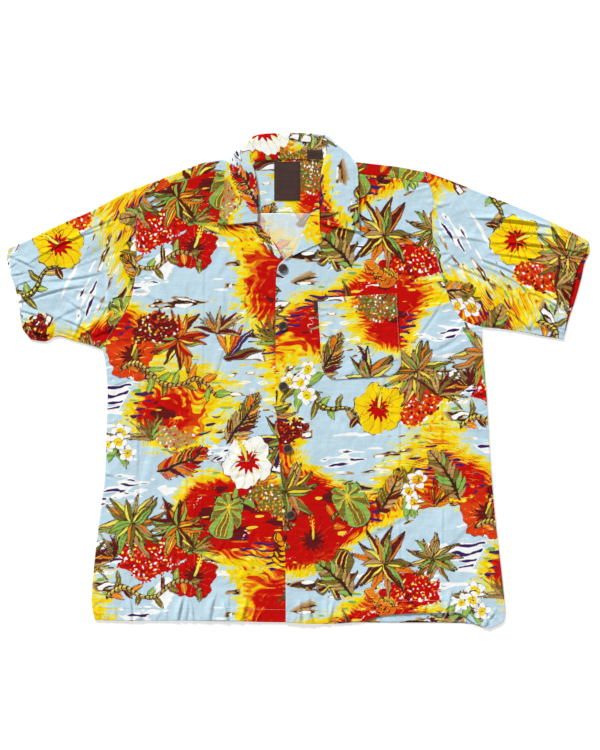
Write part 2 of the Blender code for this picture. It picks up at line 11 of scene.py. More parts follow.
import logging
import math
from dataclasses import dataclass, field
from enum import Enum, IntEnum

import bpy
import numpy as np
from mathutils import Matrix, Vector


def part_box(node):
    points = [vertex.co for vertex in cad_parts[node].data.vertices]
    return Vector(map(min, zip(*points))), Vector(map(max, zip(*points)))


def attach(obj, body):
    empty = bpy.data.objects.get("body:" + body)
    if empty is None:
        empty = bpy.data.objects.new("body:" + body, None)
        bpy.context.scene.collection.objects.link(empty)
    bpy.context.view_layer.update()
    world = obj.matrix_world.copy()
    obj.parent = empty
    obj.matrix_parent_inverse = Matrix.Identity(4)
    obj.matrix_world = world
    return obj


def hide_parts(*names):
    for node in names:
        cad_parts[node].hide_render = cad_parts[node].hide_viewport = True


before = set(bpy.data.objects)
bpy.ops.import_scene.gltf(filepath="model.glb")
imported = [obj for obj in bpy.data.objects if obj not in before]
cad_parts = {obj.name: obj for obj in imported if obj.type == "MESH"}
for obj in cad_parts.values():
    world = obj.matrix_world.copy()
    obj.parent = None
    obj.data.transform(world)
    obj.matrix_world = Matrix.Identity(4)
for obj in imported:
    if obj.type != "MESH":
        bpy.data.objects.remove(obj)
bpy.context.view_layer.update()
LOG = logging.getLogger("shirt")

Array = np.ndarray
Points = list[tuple[float, float]]
MM = 0.001

# Cloth and stacking, from the surface up
WALL = 1.2
LAYER_GAP = 0.4
SEAM_GAP = 0.35
BACK_Z = WALL / 2
FRONT_Z = BACK_Z + WALL + LAYER_GAP
LAP_RISE = WALL + LAYER_GAP
STAND_Z = FRONT_Z + WALL + LAYER_GAP
FALL_Z = STAND_Z + 1.8  # the collar's wings, over the stand that they hide
BAND_Z = FRONT_Z + 0.1  # the foot of the collar's band
FOLD_RADIUS = (FRONT_Z - BACK_Z) / 2

YOKE_SEAM_Y = 265.0
FORWARD_SEAM_DROP = 18.0
LAP_EDGE_X = (16.0, 44.0)
LAP_TOP_Y = (195.0, 235.0)
HEM_WIDTH = 20.0
CUFF_HEM_WIDTH = 23.0
STITCH_RISE = 0.05  # of a stitch's middle over the cloth

# Spacing of the grids
FINE = 1.62
HIDDEN = 2.6
COARSE = 6.0
LIPS = (0.25, 0.7)  # distances from an edge of the two rings over which it is rounded
INNER_LIP = 1.3  # distance from an edge at which an inner skin ends
CREASE_DEPTH = 2.3  # of all creases, against the heights in their tables
UNDERSIDE = 0.5  # deepest trough in a side that lies on something
ROUNDING = (0.0, 0.75, 1.0)  # share of the half thickness reached on the edge and on those two rings


# ---------- Plan curves and grids ----------

def along(line: Array) -> Array:
    """Distance of each point of a polyline from its first point, in plan."""
    return np.concatenate([[0], np.cumsum(np.linalg.norm(np.diff(line[:, :2], axis=0), axis=1))])


def along3(line: Array) -> Array:
    """Distance of each point of a polyline in space from its first point."""
    return np.concatenate([[0], np.cumsum(np.linalg.norm(np.diff(line, axis=0), axis=1))])


def sampled(line: Array, distances: Array) -> Array:
    """Points of a polyline at the given distances from its first point."""
    length = along(line)
    return np.stack([np.interp(distances, length, column) for column in line.T], axis=1)


def smooth(points: Points, shares: Array | int = 241) -> Array:
    """A Catmull-Rom curve through points, each span being the usual cubic of its four neighbours.

    Args:
        points: the points that the curve passes, in two or more columns.
        shares: shares of the curve's length at which it is read, or a count of even ones.

    Returns:
        One row for each share.
    """
    if isinstance(shares, int):
        shares = np.linspace(0, 1, shares)
    p = np.asarray(points, dtype=float)
    p = np.vstack([2 * p[0] - p[1], p, 2 * p[-1] - p[-2]])
    t = np.linspace(0, 1, 24, endpoint=False)[:, None]
    spans = []
    for a, b, c, d in zip(p[:-3], p[1:-2], p[2:-1], p[3:]):
        bend = 2 * a - 5 * b + 4 * c - d + t * (3 * (b - c) + d - a)
        spans.append(b + 0.5 * t * (c - a + t * bend))
    line = np.vstack(spans + [p[-2:-1]])
    return sampled(line, shares * along(line)[-1])


def ease(low: float, high: float, value: Array) -> Array:
    """Rise from 0 at low to 1 at high with level ends, as 3f^2 - 2f^3."""
    f = np.clip((value - low) / (high - low), 0, 1)
    return f * f * (3 - 2 * f)


def shares_for(length: float, pitch: float) -> Array:
    """Shares from 0 to 1 at an even pitch, with the rings of a rounded edge added at both ends.

    Args:
        length: the side's length.
        pitch: its usual spacing.

    Returns:
        Rising shares.
    """
    ends = [lip / length for lip in LIPS]
    inside = np.linspace(ends[-1], 1 - ends[-1], max(3, int(round(length / pitch))))
    before = [0.0] + ends[:-1]
    return np.concatenate([before, inside, [1 - e for e in reversed(before)]])


def skin_shares(width: float, height: float, fine: float, coarse: float,
                stretch: float = 1.0) -> list[tuple[Array, Array]]:
    """Shares across and upwards, first of a small piece's printed skin and then of its inner skin.

    Args:
        width, height: the piece's size.
        fine, coarse: spacing of the printed and of the inner skin.
        stretch: how much wider the spacing is upwards.

    Returns:
        Two pairs of rising shares.
    """
    return [(shares(width, pitch), shares(height, stretch * pitch))
            for shares, pitch in ((shares_for, fine), (inner_shares, coarse))]


def inner_shares(length: float, pitch: float, dense: tuple[float, float, float] | None = None) -> Array:
    """Shares of an inner skin, which ends just inside the rolled edge.

    Args:
        length: the side's length.
        pitch: its usual spacing.
        dense: from share, to share and the closer spacing used between them.

    Returns:
        Rising shares.
    """
    lip = INNER_LIP / length
    places = [lip, 1 - lip]
    if dense:
        places = [lip, max(dense[0], 2 * lip), min(dense[1], 1 - 2 * lip), 1 - lip]
    parts = []
    for k, (start, end) in enumerate(zip(places[:-1], places[1:])):
        step = dense[2] if dense and k == 1 else pitch
        parts.append(np.linspace(start, end, max(2, int((end - start) * length / step) + 1))[:-1])
    return np.concatenate(parts + [[places[-1]]])


def patch(bottom: Array, left: Array, right: Array, top: Array, s: Array, t: Array) -> Array:
    """Fill four edge curves with a Coons grid: the blend across plus the one upwards less the corners'.

    Args:
        bottom, left, right, top: the edge curves, read at the shares s or t.
        s: shares across, for the columns.
        t: shares upwards, for the rows.

    Returns:
        Rows by columns by 2.
    """
    s = s[None, :, None]
    t = t[:, None, None]
    across = (1 - s) * left[:, None] + s * right[:, None]
    upward = (1 - t) * bottom[None] + t * top[None]
    corners = ((1 - t) * ((1 - s) * bottom[0] + s * bottom[-1]) + t * ((1 - s) * top[0] + s * top[-1]))
    return across + upward - corners


def at_heights(line: Array, heights: Array) -> Array:
    """Points of a rising curve at the given y values."""
    return np.stack([np.interp(heights, line[:, 1], line[:, 0]), heights], axis=1)


def lifted(grid: Array, z: Array | float) -> Array:
    """Give a plan grid its heights."""
    return np.concatenate([grid, np.broadcast_to(z, grid.shape[:-1])[..., None]], axis=-1)


def distance_to(points: Array, line: Array) -> Array:
    """Distance in plan of each point from a polyline: the least over its spans.

    Args:
        points: points in plan.
        line: the polyline, in plan.

    Returns:
        One distance for each point.
    """
    best = np.full(points.shape[:-1], 1e9)
    for start, end in zip(line[:-1], line[1:]):
        run = end - start
        f = np.clip(((points - start) @ run) / max(run @ run, 1e-9), 0, 1)
        gap = points - start - f[..., None] * run
        best = np.minimum(best, gap[..., 0] ** 2 + gap[..., 1] ** 2)
    return np.sqrt(best)


def normals(grid: Array, tube: bool = False) -> Array:
    """Unit normals of a grid: the cross product of its differences across and upwards.

    Args:
        grid: rows by columns by 3.
        tube: whether the columns close on themselves.

    Returns:
        An array of the same shape.
    """
    wide = np.concatenate([grid[:, -2:-1], grid, grid[:, 1:2]], axis=1) if tube else grid
    cross = np.cross(np.gradient(wide, axis=1), np.gradient(wide, axis=0))
    if tube:
        cross = cross[:, 1:-1]
    return cross / np.maximum(np.linalg.norm(cross, axis=-1, keepdims=True), 1e-12)


# ---------- Folds, creases and seams in the cloth's height ----------

@dataclass(frozen=True)
class Waves:
    """Smooth noise that repeats with the print: a sum of cosines whose wave numbers fit the repeat."""
    across: float
    up: float
    seed: int
    count: int = 14

    def __call__(self, u: Array, v: Array) -> Array:
        """Values with a mean of 0 and a spread of 1 at the points u, v.

        Args:
            u, v: the points' places, in mm.

        Returns:
            One value for each point.
        """
        rng = np.random.default_rng(self.seed)
        turn = rng.uniform(0, 2 * math.pi, self.count)
        size = rng.uniform(0.55, 1.35, self.count)
        m = np.round(np.cos(turn) * size * REPEAT[0] / self.across)
        n = np.round(np.sin(turn) * size * REPEAT[1] / self.up)
        phase = rng.uniform(0, 2 * math.pi, self.count)
        total = np.zeros(np.shape(u))
        for a, b, c in zip(m, n, phase):
            total += np.cos(2 * math.pi * (a * u / REPEAT[0] + b * v / REPEAT[1]) + c)
        return total * math.sqrt(2 / self.count)


# Section and run of a crease, in shares of its own width, height and length
RIGHT_FLANK = 0.72
VALLEY_PLACE, VALLEY_WIDTH, VALLEY_DEPTH = 1.35, 0.7, 0.8
SWELL_START, SWELL_RANGE, SWELL_POWER = 0.06, 0.88, 0.7
DEEPEST = -0.55  # the lowest that relief may go, so that a skin stays above the middle of its wall


@dataclass(frozen=True)
class Crease:
    """A soft ridge, or a trough if its height is negative, along a bowed line.

    Its section is exp(-(d/w)^2), with w wider on its left flank and narrower on its right, where a valley
    runs beside it. Its height swells along the line as a power of a sine and dies away past both ends.
    """
    x0: float
    y0: float
    x1: float
    y1: float
    width: float
    height: float
    bow: float = 0.0
    flank: float = 1.7

    def __call__(self, grid: Array) -> Array:
        """Height added at each point of a plan grid.

        Args:
            grid: points in plan.

        Returns:
            One height for each point.
        """
        start, run = np.array([self.x0, self.y0]), np.array([self.x1 - self.x0, self.y1 - self.y0])
        length = math.hypot(*run)
        f = ((grid - start) @ run) / length ** 2
        side = ((grid[..., 0] - self.x0) * -run[1] + (grid[..., 1] - self.y0) * run[0]) / length
        inside = np.clip(f, 0, 1)
        side = side - self.bow * 4 * inside * (1 - inside)
        width = np.where(side > 0, self.width * self.flank, self.width * RIGHT_FLANK)
        past = (f - inside) * length / (2 * self.width)
        swell = np.sin(math.pi * np.clip(SWELL_START + SWELL_RANGE * inside, 0, 1)) ** SWELL_POWER
        ridge = np.exp(-(side / width) ** 2)
        valley = np.exp(-((side / self.width + VALLEY_PLACE) / VALLEY_WIDTH) ** 2)
        return CREASE_DEPTH * self.height * swell * (ridge - VALLEY_DEPTH * valley) * np.exp(-past ** 2)


@dataclass(frozen=True)
class Welt:
    """Doubled cloth along an edge or seam, ending in the groove of its stitching."""
    line: Array
    width: float
    height: float
    groove: float = 0.28

    def __call__(self, grid: Array) -> Array:
        """Height added at each point of a plan grid.

        Args:
            grid: points in plan.

        Returns:
            One height for each point.
        """
        far = distance_to(grid, self.line)
        raised = self.height * (1 - ease(self.width - 0.8, self.width + 1.6, far))
        return raised - self.groove * np.exp(-((far - self.width + 1.2) / 0.9) ** 2)


def puckers(line: Array, reach: tuple[float, float], pitch: float, height: float, seed: int,
            turn: float = 0.0) -> list[Crease]:
    """Short uneven creases that stand across a seam or hem.

    Args:
        line: the seam, in plan.
        reach: the least and the greatest length of a crease.
        pitch: mean distance between two of them.
        height: mean height.
        seed: of their uneven places, lengths, widths and heights.
        turn: 0 for creases on the left of the line, pi for its right.

    Returns:
        The creases.
    """
    rng = np.random.default_rng(seed)
    total = along(line)[-1]
    count = max(1, int(total / pitch))
    places = (np.arange(count) + rng.uniform(0.1, 0.9, count)) * total / count
    feet, ahead = sampled(line, places), sampled(line, np.minimum(places + 1, total))
    behind = sampled(line, np.maximum(places - 1, 0))
    made = []
    for foot, run in zip(feet, ahead - behind):
        lean = math.atan2(run[1], run[0]) + math.pi / 2 + turn + rng.normal(0, 0.28)
        length = rng.uniform(*reach)
        tip = foot + length * np.array([math.cos(lean), math.sin(lean)])
        made.append(Crease(*foot, *tip, rng.uniform(1.6, 3.4), height * rng.uniform(0.35, 1.5),
                           rng.normal(0, 1.2)))
    return made


@dataclass
class Relief:
    """Everything that is added to a plain sheet's height in plan."""
    parts: list = field(default_factory=list)
    swell: float = 0.22  # broad unevenness of cloth that was smoothed by hand
    seed: int = 1
    calm: list = field(default_factory=list)  # x0, y0, x1, y1 of boxes that something lies on
    margin: float = 12.0  # width over which the relief comes back round them

    def __call__(self, grid: Array) -> Array:
        """Height added at each point of a plan grid.

        Args:
            grid: points in plan.

        Returns:
            One height for each point.
        """
        x, y = grid[..., 0], grid[..., 1]
        rise = self.swell * (Waves(95, 120, self.seed)(x, y) + 0.5 * Waves(38, 60, self.seed + 1)(x, y))
        rise = rise + 0.05 * Waves(13, 22, self.seed + 2)(x, y)
        for part in self.parts:
            rise = rise + part(grid)
        for x0, y0, x1, y1 in self.calm:
            beside = np.maximum(0, np.maximum(x0 - x, x - x1))
            beyond = np.maximum(0, np.maximum(y0 - y, y - y1))
            rise = rise * ease(0, self.margin, np.hypot(beside, beyond))
        return np.maximum(rise, DEEPEST)


# ---------- The print ----------

REPEAT = (620.0, 520.0)  # width and height of the print's repeat
FAR = 4.0  # distance kept where an ink is nowhere near
TRAP = 0.5  # how far an ink spreads past its shape, so that no ground shows between two


class Ink(IntEnum):
    """Printing inks in the order in which they are laid down, on a pale blue ground."""
    WHITE = 0
    LEMON = 1
    YELLOW = 2
    ORANGE = 3
    VERMILION = 4
    RED = 5
    MAROON = 6
    GREEN = 7
    OLIVE = 8
    TAN = 9
    PURPLE = 10
    UMBER = 11


INK_COLOURS: dict[Ink, str] = {
    Ink.WHITE: "FCFCFA", Ink.LEMON: "F0E84E", Ink.YELLOW: "F8DC0C", Ink.ORANGE: "EC7A14",
    Ink.VERMILION: "DC3A10", Ink.RED: "C40807", Ink.MAROON: "60161A", Ink.GREEN: "84B44E",
    Ink.OLIVE: "74642A", Ink.TAN: "B5884E", Ink.PURPLE: "382060", Ink.UMBER: "38201A",
}
GROUND_COLOUR = "C0DCEA"


class Cloth:
    """Printed cloth: a screen of signed distances for each ink over a set of cloth points.

    A distance is negative inside the ink's shapes. An ink laid on others cuts them back, so that the last
    one painted lies on top whatever its place in the order.
    """

    def __init__(self, u: Array, v: Array) -> None:
        """Args: u, v: the points' places on the cloth."""
        self.u = u.astype(np.float32)
        self.v = v.astype(np.float32)
        self.screens = np.full((len(Ink), len(u)), FAR, np.float32)
        # warmth of the brushed fields, from pale blue at -1 to deep red at 2
        self.warmth = np.zeros(len(u), np.float32)
        self.sway = tuple(
            0.45 * Waves(17, 17, seed)(self.u, self.v) + 1.0 * Waves(48, 48, seed + 1)(self.u, self.v)
            for seed in (71, 73))

    def paint(self, ink: Ink, distance: Array, at: Array | slice = slice(None)) -> None:
        """Lay an ink where distance is negative.

        Args:
            ink: the ink.
            distance: signed distance to its shape, in mm.
            at: the points that distance is given for.
        """
        distance = distance.astype(np.float32)
        self.screens[ink + 1:, at] = np.maximum(self.screens[ink + 1:, at], -distance)
        self.screens[ink, at] = np.minimum(self.screens[ink, at], distance - TRAP)

    def near(self, x: float, y: float, radius: float, angle: float) -> tuple[Array, Array, Array]:
        """Points round a motif, in its own turned frame and with the unsteadiness of a hand.

        Returns:
            Their numbers and their two coordinates.
        """
        du = (self.u - x + REPEAT[0] / 2) % REPEAT[0] - REPEAT[0] / 2
        dv = (self.v - y + REPEAT[1] / 2) % REPEAT[1] - REPEAT[1] / 2
        at = np.flatnonzero(du * du + dv * dv < radius * radius)
        du, dv = du[at] + self.sway[0][at], dv[at] + self.sway[1][at]
        return at, *spin(du, dv, angle)


def spin(x: Array, y: Array, angle: float) -> tuple[Array, Array]:
    """Coordinates in a frame turned by an angle."""
    c, s = math.cos(angle), math.sin(angle)
    return c * x + s * y, c * y - s * x


def leaf(x: Array, y: Array, length: float, width: float, bend: float,
         belly: float = 0.8) -> tuple[Array, Array, Array]:
    """A pointed leaf along +x, whose half width is the sine of its share along, to a power.

    Args:
        x, y: points in the leaf's frame, with its foot at 0.
        length, width: its size.
        bend: how far its tip bends aside, as a share of its length.
        belly: below 1 the widest place lies towards the foot, above 1 towards the tip.

    Returns:
        Signed distance, distance across from the midrib, and share along.
    """
    s = np.clip(x / length, 0, 1)
    across = y - bend * length * s * s
    half = 0.5 * width * np.clip(np.sin(math.pi * s ** belly), 0, 1) ** 0.8
    slope = np.sqrt(1 + (2 * bend * s) ** 2)
    past = np.maximum(np.maximum(-x, x - length), 0)
    return np.abs(across) / slope - half + past, across, s


def comb(phase: Array) -> Array:
    """Pointed tongues: +1 along the middle of each and -1 between two."""
    return 1 - 4 * np.abs(phase - np.floor(phase) - 0.5)


def paint_ground(cloth: Cloth) -> None:
    """Brushed fields: pale blue with white strokes, yellow, orange and red that end in flame-like tongues.

    Args:
        cloth: the cloth, which gets its first screens and its warmth.
    """
    u, v = cloth.u, cloth.v
    hot = 1.55 * Waves(330, 230, 5, 9)(u, v) + 0.30 * Waves(150, 90, 6)(u, v) + 0.06
    tilt = Waves(230, 180, 8)(u, v)
    small = Waves(60, 34, 9)(u, v)
    fine = Waves(34, 12, 10)(u, v)
    grain = Waves(22, 7, 19)(u, v)
    long_tongues = comb(v / 12.0 + 0.4 * u / 12.0 + 3.2 * tilt + 0.25 * small)
    thin_tongues = comb(v / 8.0 + 0.4 * u / 8.0 + 4.8 * tilt + 0.35 * small + 0.2 * fine + 0.37)
    scale = 20.0
    strokes = Waves(200, 22, 12)(u, v) + 0.3 * fine + 0.15 * grain
    cloth.paint(Ink.WHITE, (1.95 - strokes) * 5)
    clouds = Waves(150, 80, 13)(u, v) + 0.2 * small + 0.15 * grain
    cloth.paint(Ink.WHITE, (2.15 - clouds) * 14)
    warm = hot - 0.42 * thin_tongues + 0.15 * fine + 0.06 * grain
    cloth.paint(Ink.LEMON, (-0.05 - warm) * scale)
    cloth.paint(Ink.YELLOW, (0.15 - warm - 0.30 * Waves(120, 16, 14)(u, v)) * scale)
    sand = Waves(170, 34, 21)(u, v) + 0.25 * fine + 0.15 * grain
    belt = np.abs(hot + 0.35) * 12 - 6.5
    cloth.paint(Ink.TAN, np.maximum((0.95 - sand) * 7, belt))
    cloth.paint(Ink.UMBER, np.maximum((1.15 - sand + 0.30 * comb(v / 6.4 + 0.5 * small)) * 7, belt + 1))
    cloth.paint(Ink.WHITE, np.maximum((1.60 - sand - 0.3 * fine) * 7, belt + 1))
    cloth.paint(Ink.ORANGE, (0.86 - hot + 0.55 * thin_tongues - 0.12 * small) * scale)
    core = hot - 0.50 * long_tongues + 0.10 * fine
    cloth.paint(Ink.VERMILION, (0.93 - core) * scale)
    cloth.paint(Ink.RED, (0.97 - core + 0.16 * thin_tongues) * scale)
    deep = Waves(80, 30, 22)(u, v) + 0.2 * grain
    cloth.paint(Ink.MAROON, np.maximum((1.30 - deep) * 7, (1.5 - hot) * 16))
    bars = (0.30 - comb(v / 10.5 + 0.5 * tilt + 0.16 * small + 0.05 * grain)) * 2.6
    reach = np.abs(hot + 0.3 * fine - 1.0) - 0.34
    cloth.paint(Ink.PURPLE, np.maximum(bars, np.maximum(reach, 0.45 - Waves(160, 110, 16)(u, v)) * 18))
    bars = (0.35 - comb(v / 12.0 + 0.35 * tilt + 0.16 * small + 0.06 * grain)) * 3.0
    zone = 1.55 - Waves(200, 80, 27)(u, v) - 0.3 * fine
    cloth.paint(Ink.WHITE, np.maximum(zone - 0.15, hot + 0.5) * 18)
    cloth.paint(Ink.PURPLE, np.maximum(bars, np.maximum(zone, hot + 0.6) * 18))
    cloth.warmth = hot - 0.22 * thin_tongues - 0.12 * long_tongues + 0.18 * fine + 0.08 * grain
    crest = np.abs(hot + 0.08 * small + 0.05 * fine - 0.10 * long_tongues - 2.0) * 18 - 0.8
    cloth.paint(Ink.WHITE, np.maximum(crest, -Waves(90, 60, 23)(u, v) * 9))
    crest = np.abs(hot - 0.16 * long_tongues - 1.55) * 18 - 0.9
    cloth.paint(Ink.ORANGE, np.maximum(crest, (0.2 - Waves(80, 60, 24)(u, v)) * 9))
    flick = Waves(60, 9, 17)(u, v) + 0.2 * grain
    cloth.paint(Ink.ORANGE, np.maximum((2.1 - flick) * 3, (1.2 - hot) * 14))
    cloth.paint(Ink.LEMON, np.maximum((2.0 - Waves(46, 10, 18)(u, v)) * 3, (0.75 - hot) * 14))
    cloth.paint(Ink.GREEN, np.maximum((1.9 - Waves(44, 12, 25)(u, v)) * 3, np.abs(hot - 0.1) * 14 - 5))


@dataclass(frozen=True)
class Motif:
    """A figure of the print, drawn round its own middle."""
    reach: float
    seed: int
    inks: tuple[Ink, ...] = ()

    def paint(self, cloth: Cloth, x: float, y: float, angle: float) -> None:
        """Draw the figure on the cloth at x, y, turned by angle.

        Args:
            cloth: the cloth.
            x, y: the figure's middle on it.
            angle: its turn, in radians.
        """
        at, px, py = cloth.near(x, y, self.reach * 1.25, angle)
        if len(at):
            self.draw(cloth, at, px, py, np.random.default_rng(self.seed))

    def draw(self, cloth: Cloth, at: Array, px: Array, py: Array, rng: np.random.Generator) -> None:
        """Draw the figure on points px, py, which are the cloth's points at.

        Args:
            cloth: the cloth.
            at: numbers of its points near the figure.
            px, py: those points in the figure's own frame.
            rng: source of the figure's unevenness.
        """
        raise NotImplementedError

    def one_leaf(self, cloth: Cloth, at: Array, found: tuple[Array, Array, Array], fill: Ink,
                 light: Ink | None, outline: float = 0.75, rib: float = 0.5) -> None:
        """Paint one leaf: a dark outline, its fill and a light midrib.

        Args:
            cloth: the cloth.
            at: numbers of its points near the figure.
            found: what leaf gives for those points.
            fill: ink of the leaf.
            light: ink of its midrib, or None for a plain leaf.
            outline: width of the outline.
            rib: half width of the midrib.
        """
        near = found[0] < 3.0
        if not near.any():
            return
        d, across = (part[near] for part in found[:2])
        here = at[near]
        cloth.paint(Ink.UMBER, d - outline, here)
        cloth.paint(fill, d, here)
        if light is not None:
            cloth.paint(light, np.maximum(np.abs(across) - rib, d + 0.8), here)


class Rosette(Motif):
    """Two rings of pointed, curved leaves round a point, each leaf half in shade."""

    def draw(self, cloth: Cloth, at: Array, px: Array, py: Array, rng: np.random.Generator) -> None:
        """Draw the outer ring, then the inner one over it."""
        for count, share, wide in ((13, 1.0, 0.17), (8, 0.72, 0.16)):
            turn = rng.uniform(0, 2 * math.pi)
            for k in rng.permutation(count):
                angle = turn + 2 * math.pi * (k + rng.uniform(-0.28, 0.28)) / count
                bend = rng.uniform(0.1, 0.32) * rng.choice([-1, 1])
                length = self.reach * share * rng.uniform(0.78, 1.0)
                width = self.reach * wide * rng.uniform(0.8, 1.25)
                d, across, s = leaf(*spin(px, py, angle), length, width, bend)
                near = d < 3.0
                if not near.any():
                    continue
                d, across, s, here = d[near], across[near], s[near], at[near]
                side = rng.choice([-1, 1])
                light = (Ink.LEMON, Ink.ORANGE, Ink.GREEN)[rng.integers(3)]
                cloth.paint(Ink.UMBER, d - 0.75, here)
                cloth.paint(self.inks[rng.integers(len(self.inks))], d, here)
                cloth.paint(light, np.maximum(d + 0.8, 0.7 - across * side), here)
                cloth.paint(Ink.UMBER, np.maximum(np.abs(across) - 0.3 * (1.2 - s), d + 0.6), here)


class Hibiscus(Motif):
    """Five ruffled petals with a dark eye and a long stamen. Its inks: petal, eye and veins."""

    def draw(self, cloth: Cloth, at: Array, px: Array, py: Array, rng: np.random.Generator) -> None:
        """Draw the petals one over another, then the stamen."""
        petal, eye, vein_ink = self.inks
        for k in (0, 2, 4, 1, 3):
            lx, ly = spin(px, py, 2 * math.pi * (k + rng.uniform(-0.08, 0.08)) / 5)
            length = self.reach * rng.uniform(0.9, 1.04)
            r, t = np.hypot(lx, ly), np.arctan2(ly, lx)
            rim = length * (1 + 0.035 * np.sin(9 * t + k) + 0.03 * np.sin(17 * t + 2 * k))
            s = np.clip(r / rim, 0, 1.2)
            half = 0.62 * length * np.clip(np.sin(math.pi * np.clip(s, 0, 1) ** 1.25 * 0.93), 0, 1) ** 0.75
            d = np.maximum(np.abs(t) * np.maximum(r, 1e-3) - half, (r - rim) * 0.9)
            near = d < 3.0
            d, here, r, t, s = d[near], at[near], r[near], t[near], s[near]
            cloth.paint(Ink.UMBER, d - 0.9, here)
            cloth.paint(petal, d, here)
            vein = np.abs(np.sin(t * 7.0 + 0.3 * np.sin(r / 6))) * r * 0.14 - 0.62 * (1.15 - s)
            cloth.paint(vein_ink, np.maximum(np.maximum(vein, d + 1.4), (0.35 - s) * 20), here)
            throat = (r - length * (0.36 + 0.10 * np.cos(12 * t))) * 0.8
            cloth.paint(eye, np.maximum(throat, d + 0.8), here)
        lx, ly = spin(px, py, 0.9)
        stamen = self.reach * 0.95
        self.one_leaf(cloth, at, leaf(lx, ly, stamen, 4.6, 0.18, 0.55), Ink.LEMON, None)
        for k in range(7):
            f = 0.55 + 0.075 * k
            side = 3.2 if k % 2 else -3.2
            cloth.paint(Ink.YELLOW, np.hypot(lx - f * stamen, ly - 0.18 * stamen * f * f - side) - 1.7, at)


class Frond(Motif):
    """A curved rib with pairs of leaflets."""

    def draw(self, cloth: Cloth, at: Array, px: Array, py: Array, rng: np.random.Generator) -> None:
        """Draw the leaflets from the foot to the tip, then the rib."""
        bend = 0.22
        pairs = max(8, int(self.reach / 7.5))
        for k in range(pairs):
            f = (k + 0.6) / pairs
            size = self.reach * 0.36 * max(0.0, math.sin(math.pi * min(1, (0.12 + 0.88 * f) ** 0.8))) ** 0.7
            if size < 3:
                continue
            for side in (-1, 1):
                angle = math.atan(2 * bend * f) + side * (1.05 - 0.45 * f)
                lx, ly = spin(px - self.reach * f, py - bend * self.reach * f * f, angle)
                found = leaf(lx, ly, size * rng.uniform(0.85, 1.05), 5.6, -side * 0.16)
                light = Ink.LEMON if rng.uniform() < 0.6 else None
                self.one_leaf(cloth, at, found, self.inks[rng.integers(len(self.inks))], light, 0.55)
        cloth.paint(Ink.UMBER, leaf(px, py, self.reach, 3.4, bend, 0.5)[0], at)


class Monstera(Motif):
    """A heart-shaped leaf with slits between its side veins. Its inks are the fill and the shade."""

    def draw(self, cloth: Cloth, at: Array, px: Array, py: Array, rng: np.random.Generator) -> None:
        """Draw the outline with its slits, the shaded lobes and the veins."""
        x = px + self.reach * 0.35
        r, t = np.hypot(x, py), np.abs(np.arctan2(py, x))
        rim = self.reach * (0.86 + 0.42 * np.cos(t) ** 3 + 0.20 * np.cos(t * 2)
                            - 0.30 * np.exp(-((math.pi - t) / 0.35) ** 2))
        swirl = t * 4.2 + r / self.reach * 0.9
        slit = np.clip(1 - np.abs(np.sin(swirl - 0.2)) / 0.34, 0, 1) * np.clip((r / rim - 0.42) / 0.4, 0, 1)
        d = (r - rim * (1 - 0.42 * slit)) * 0.75
        cloth.paint(Ink.UMBER, d - 1.1, at)
        cloth.paint(self.inks[0], d, at)
        cloth.paint(self.inks[1], np.maximum(d + 1.6, (0.55 - np.abs(np.sin(swirl + 0.55))) * 8), at)
        vein = np.minimum(np.abs(py) - 1.0, np.abs(np.sin(swirl + 1.35)) * r * 0.22 - 0.8)
        cloth.paint(Ink.LEMON, np.maximum(vein, d + 2.2), at)


class Plumeria(Motif):
    """Small five-petalled flowers over a few leaves. Its inks are the petal, the eye and the outline."""

    def draw(self, cloth: Cloth, at: Array, px: Array, py: Array, rng: np.random.Generator) -> None:
        """Draw the leaves, then the flowers, the middle one last."""
        petal, eye, edge = self.inks
        for k in range(5):
            lx, ly = spin(px, py, rng.uniform(0, 2 * math.pi))
            found = leaf(lx, ly, self.reach * rng.uniform(0.95, 1.25), self.reach * 0.34, 0.15)
            self.one_leaf(cloth, at, found, Ink.OLIVE if k % 2 else Ink.GREEN, Ink.LEMON)
        turn = rng.uniform(0, 2 * math.pi)
        for k in range(4):
            far = 0 if k == 3 else self.reach * rng.uniform(0.45, 0.62)
            cx, cy = far * math.cos(turn + 2.1 * k), far * math.sin(turn + 2.1 * k)
            size = self.reach * rng.uniform(0.36, 0.44)
            base = rng.uniform(0, 2 * math.pi)
            for j in range(5):
                lx, ly = spin(px - cx, py - cy, base + 2 * math.pi * j / 5)
                d = leaf(lx, ly, size, size * 0.78, 0.12, 1.25)[0]
                cloth.paint(edge, d - 0.75, at)
                cloth.paint(petal, d, at)
                cloth.paint(eye, np.maximum(d + 0.7, lx - size * 0.48 + np.abs(ly) * 0.5), at)


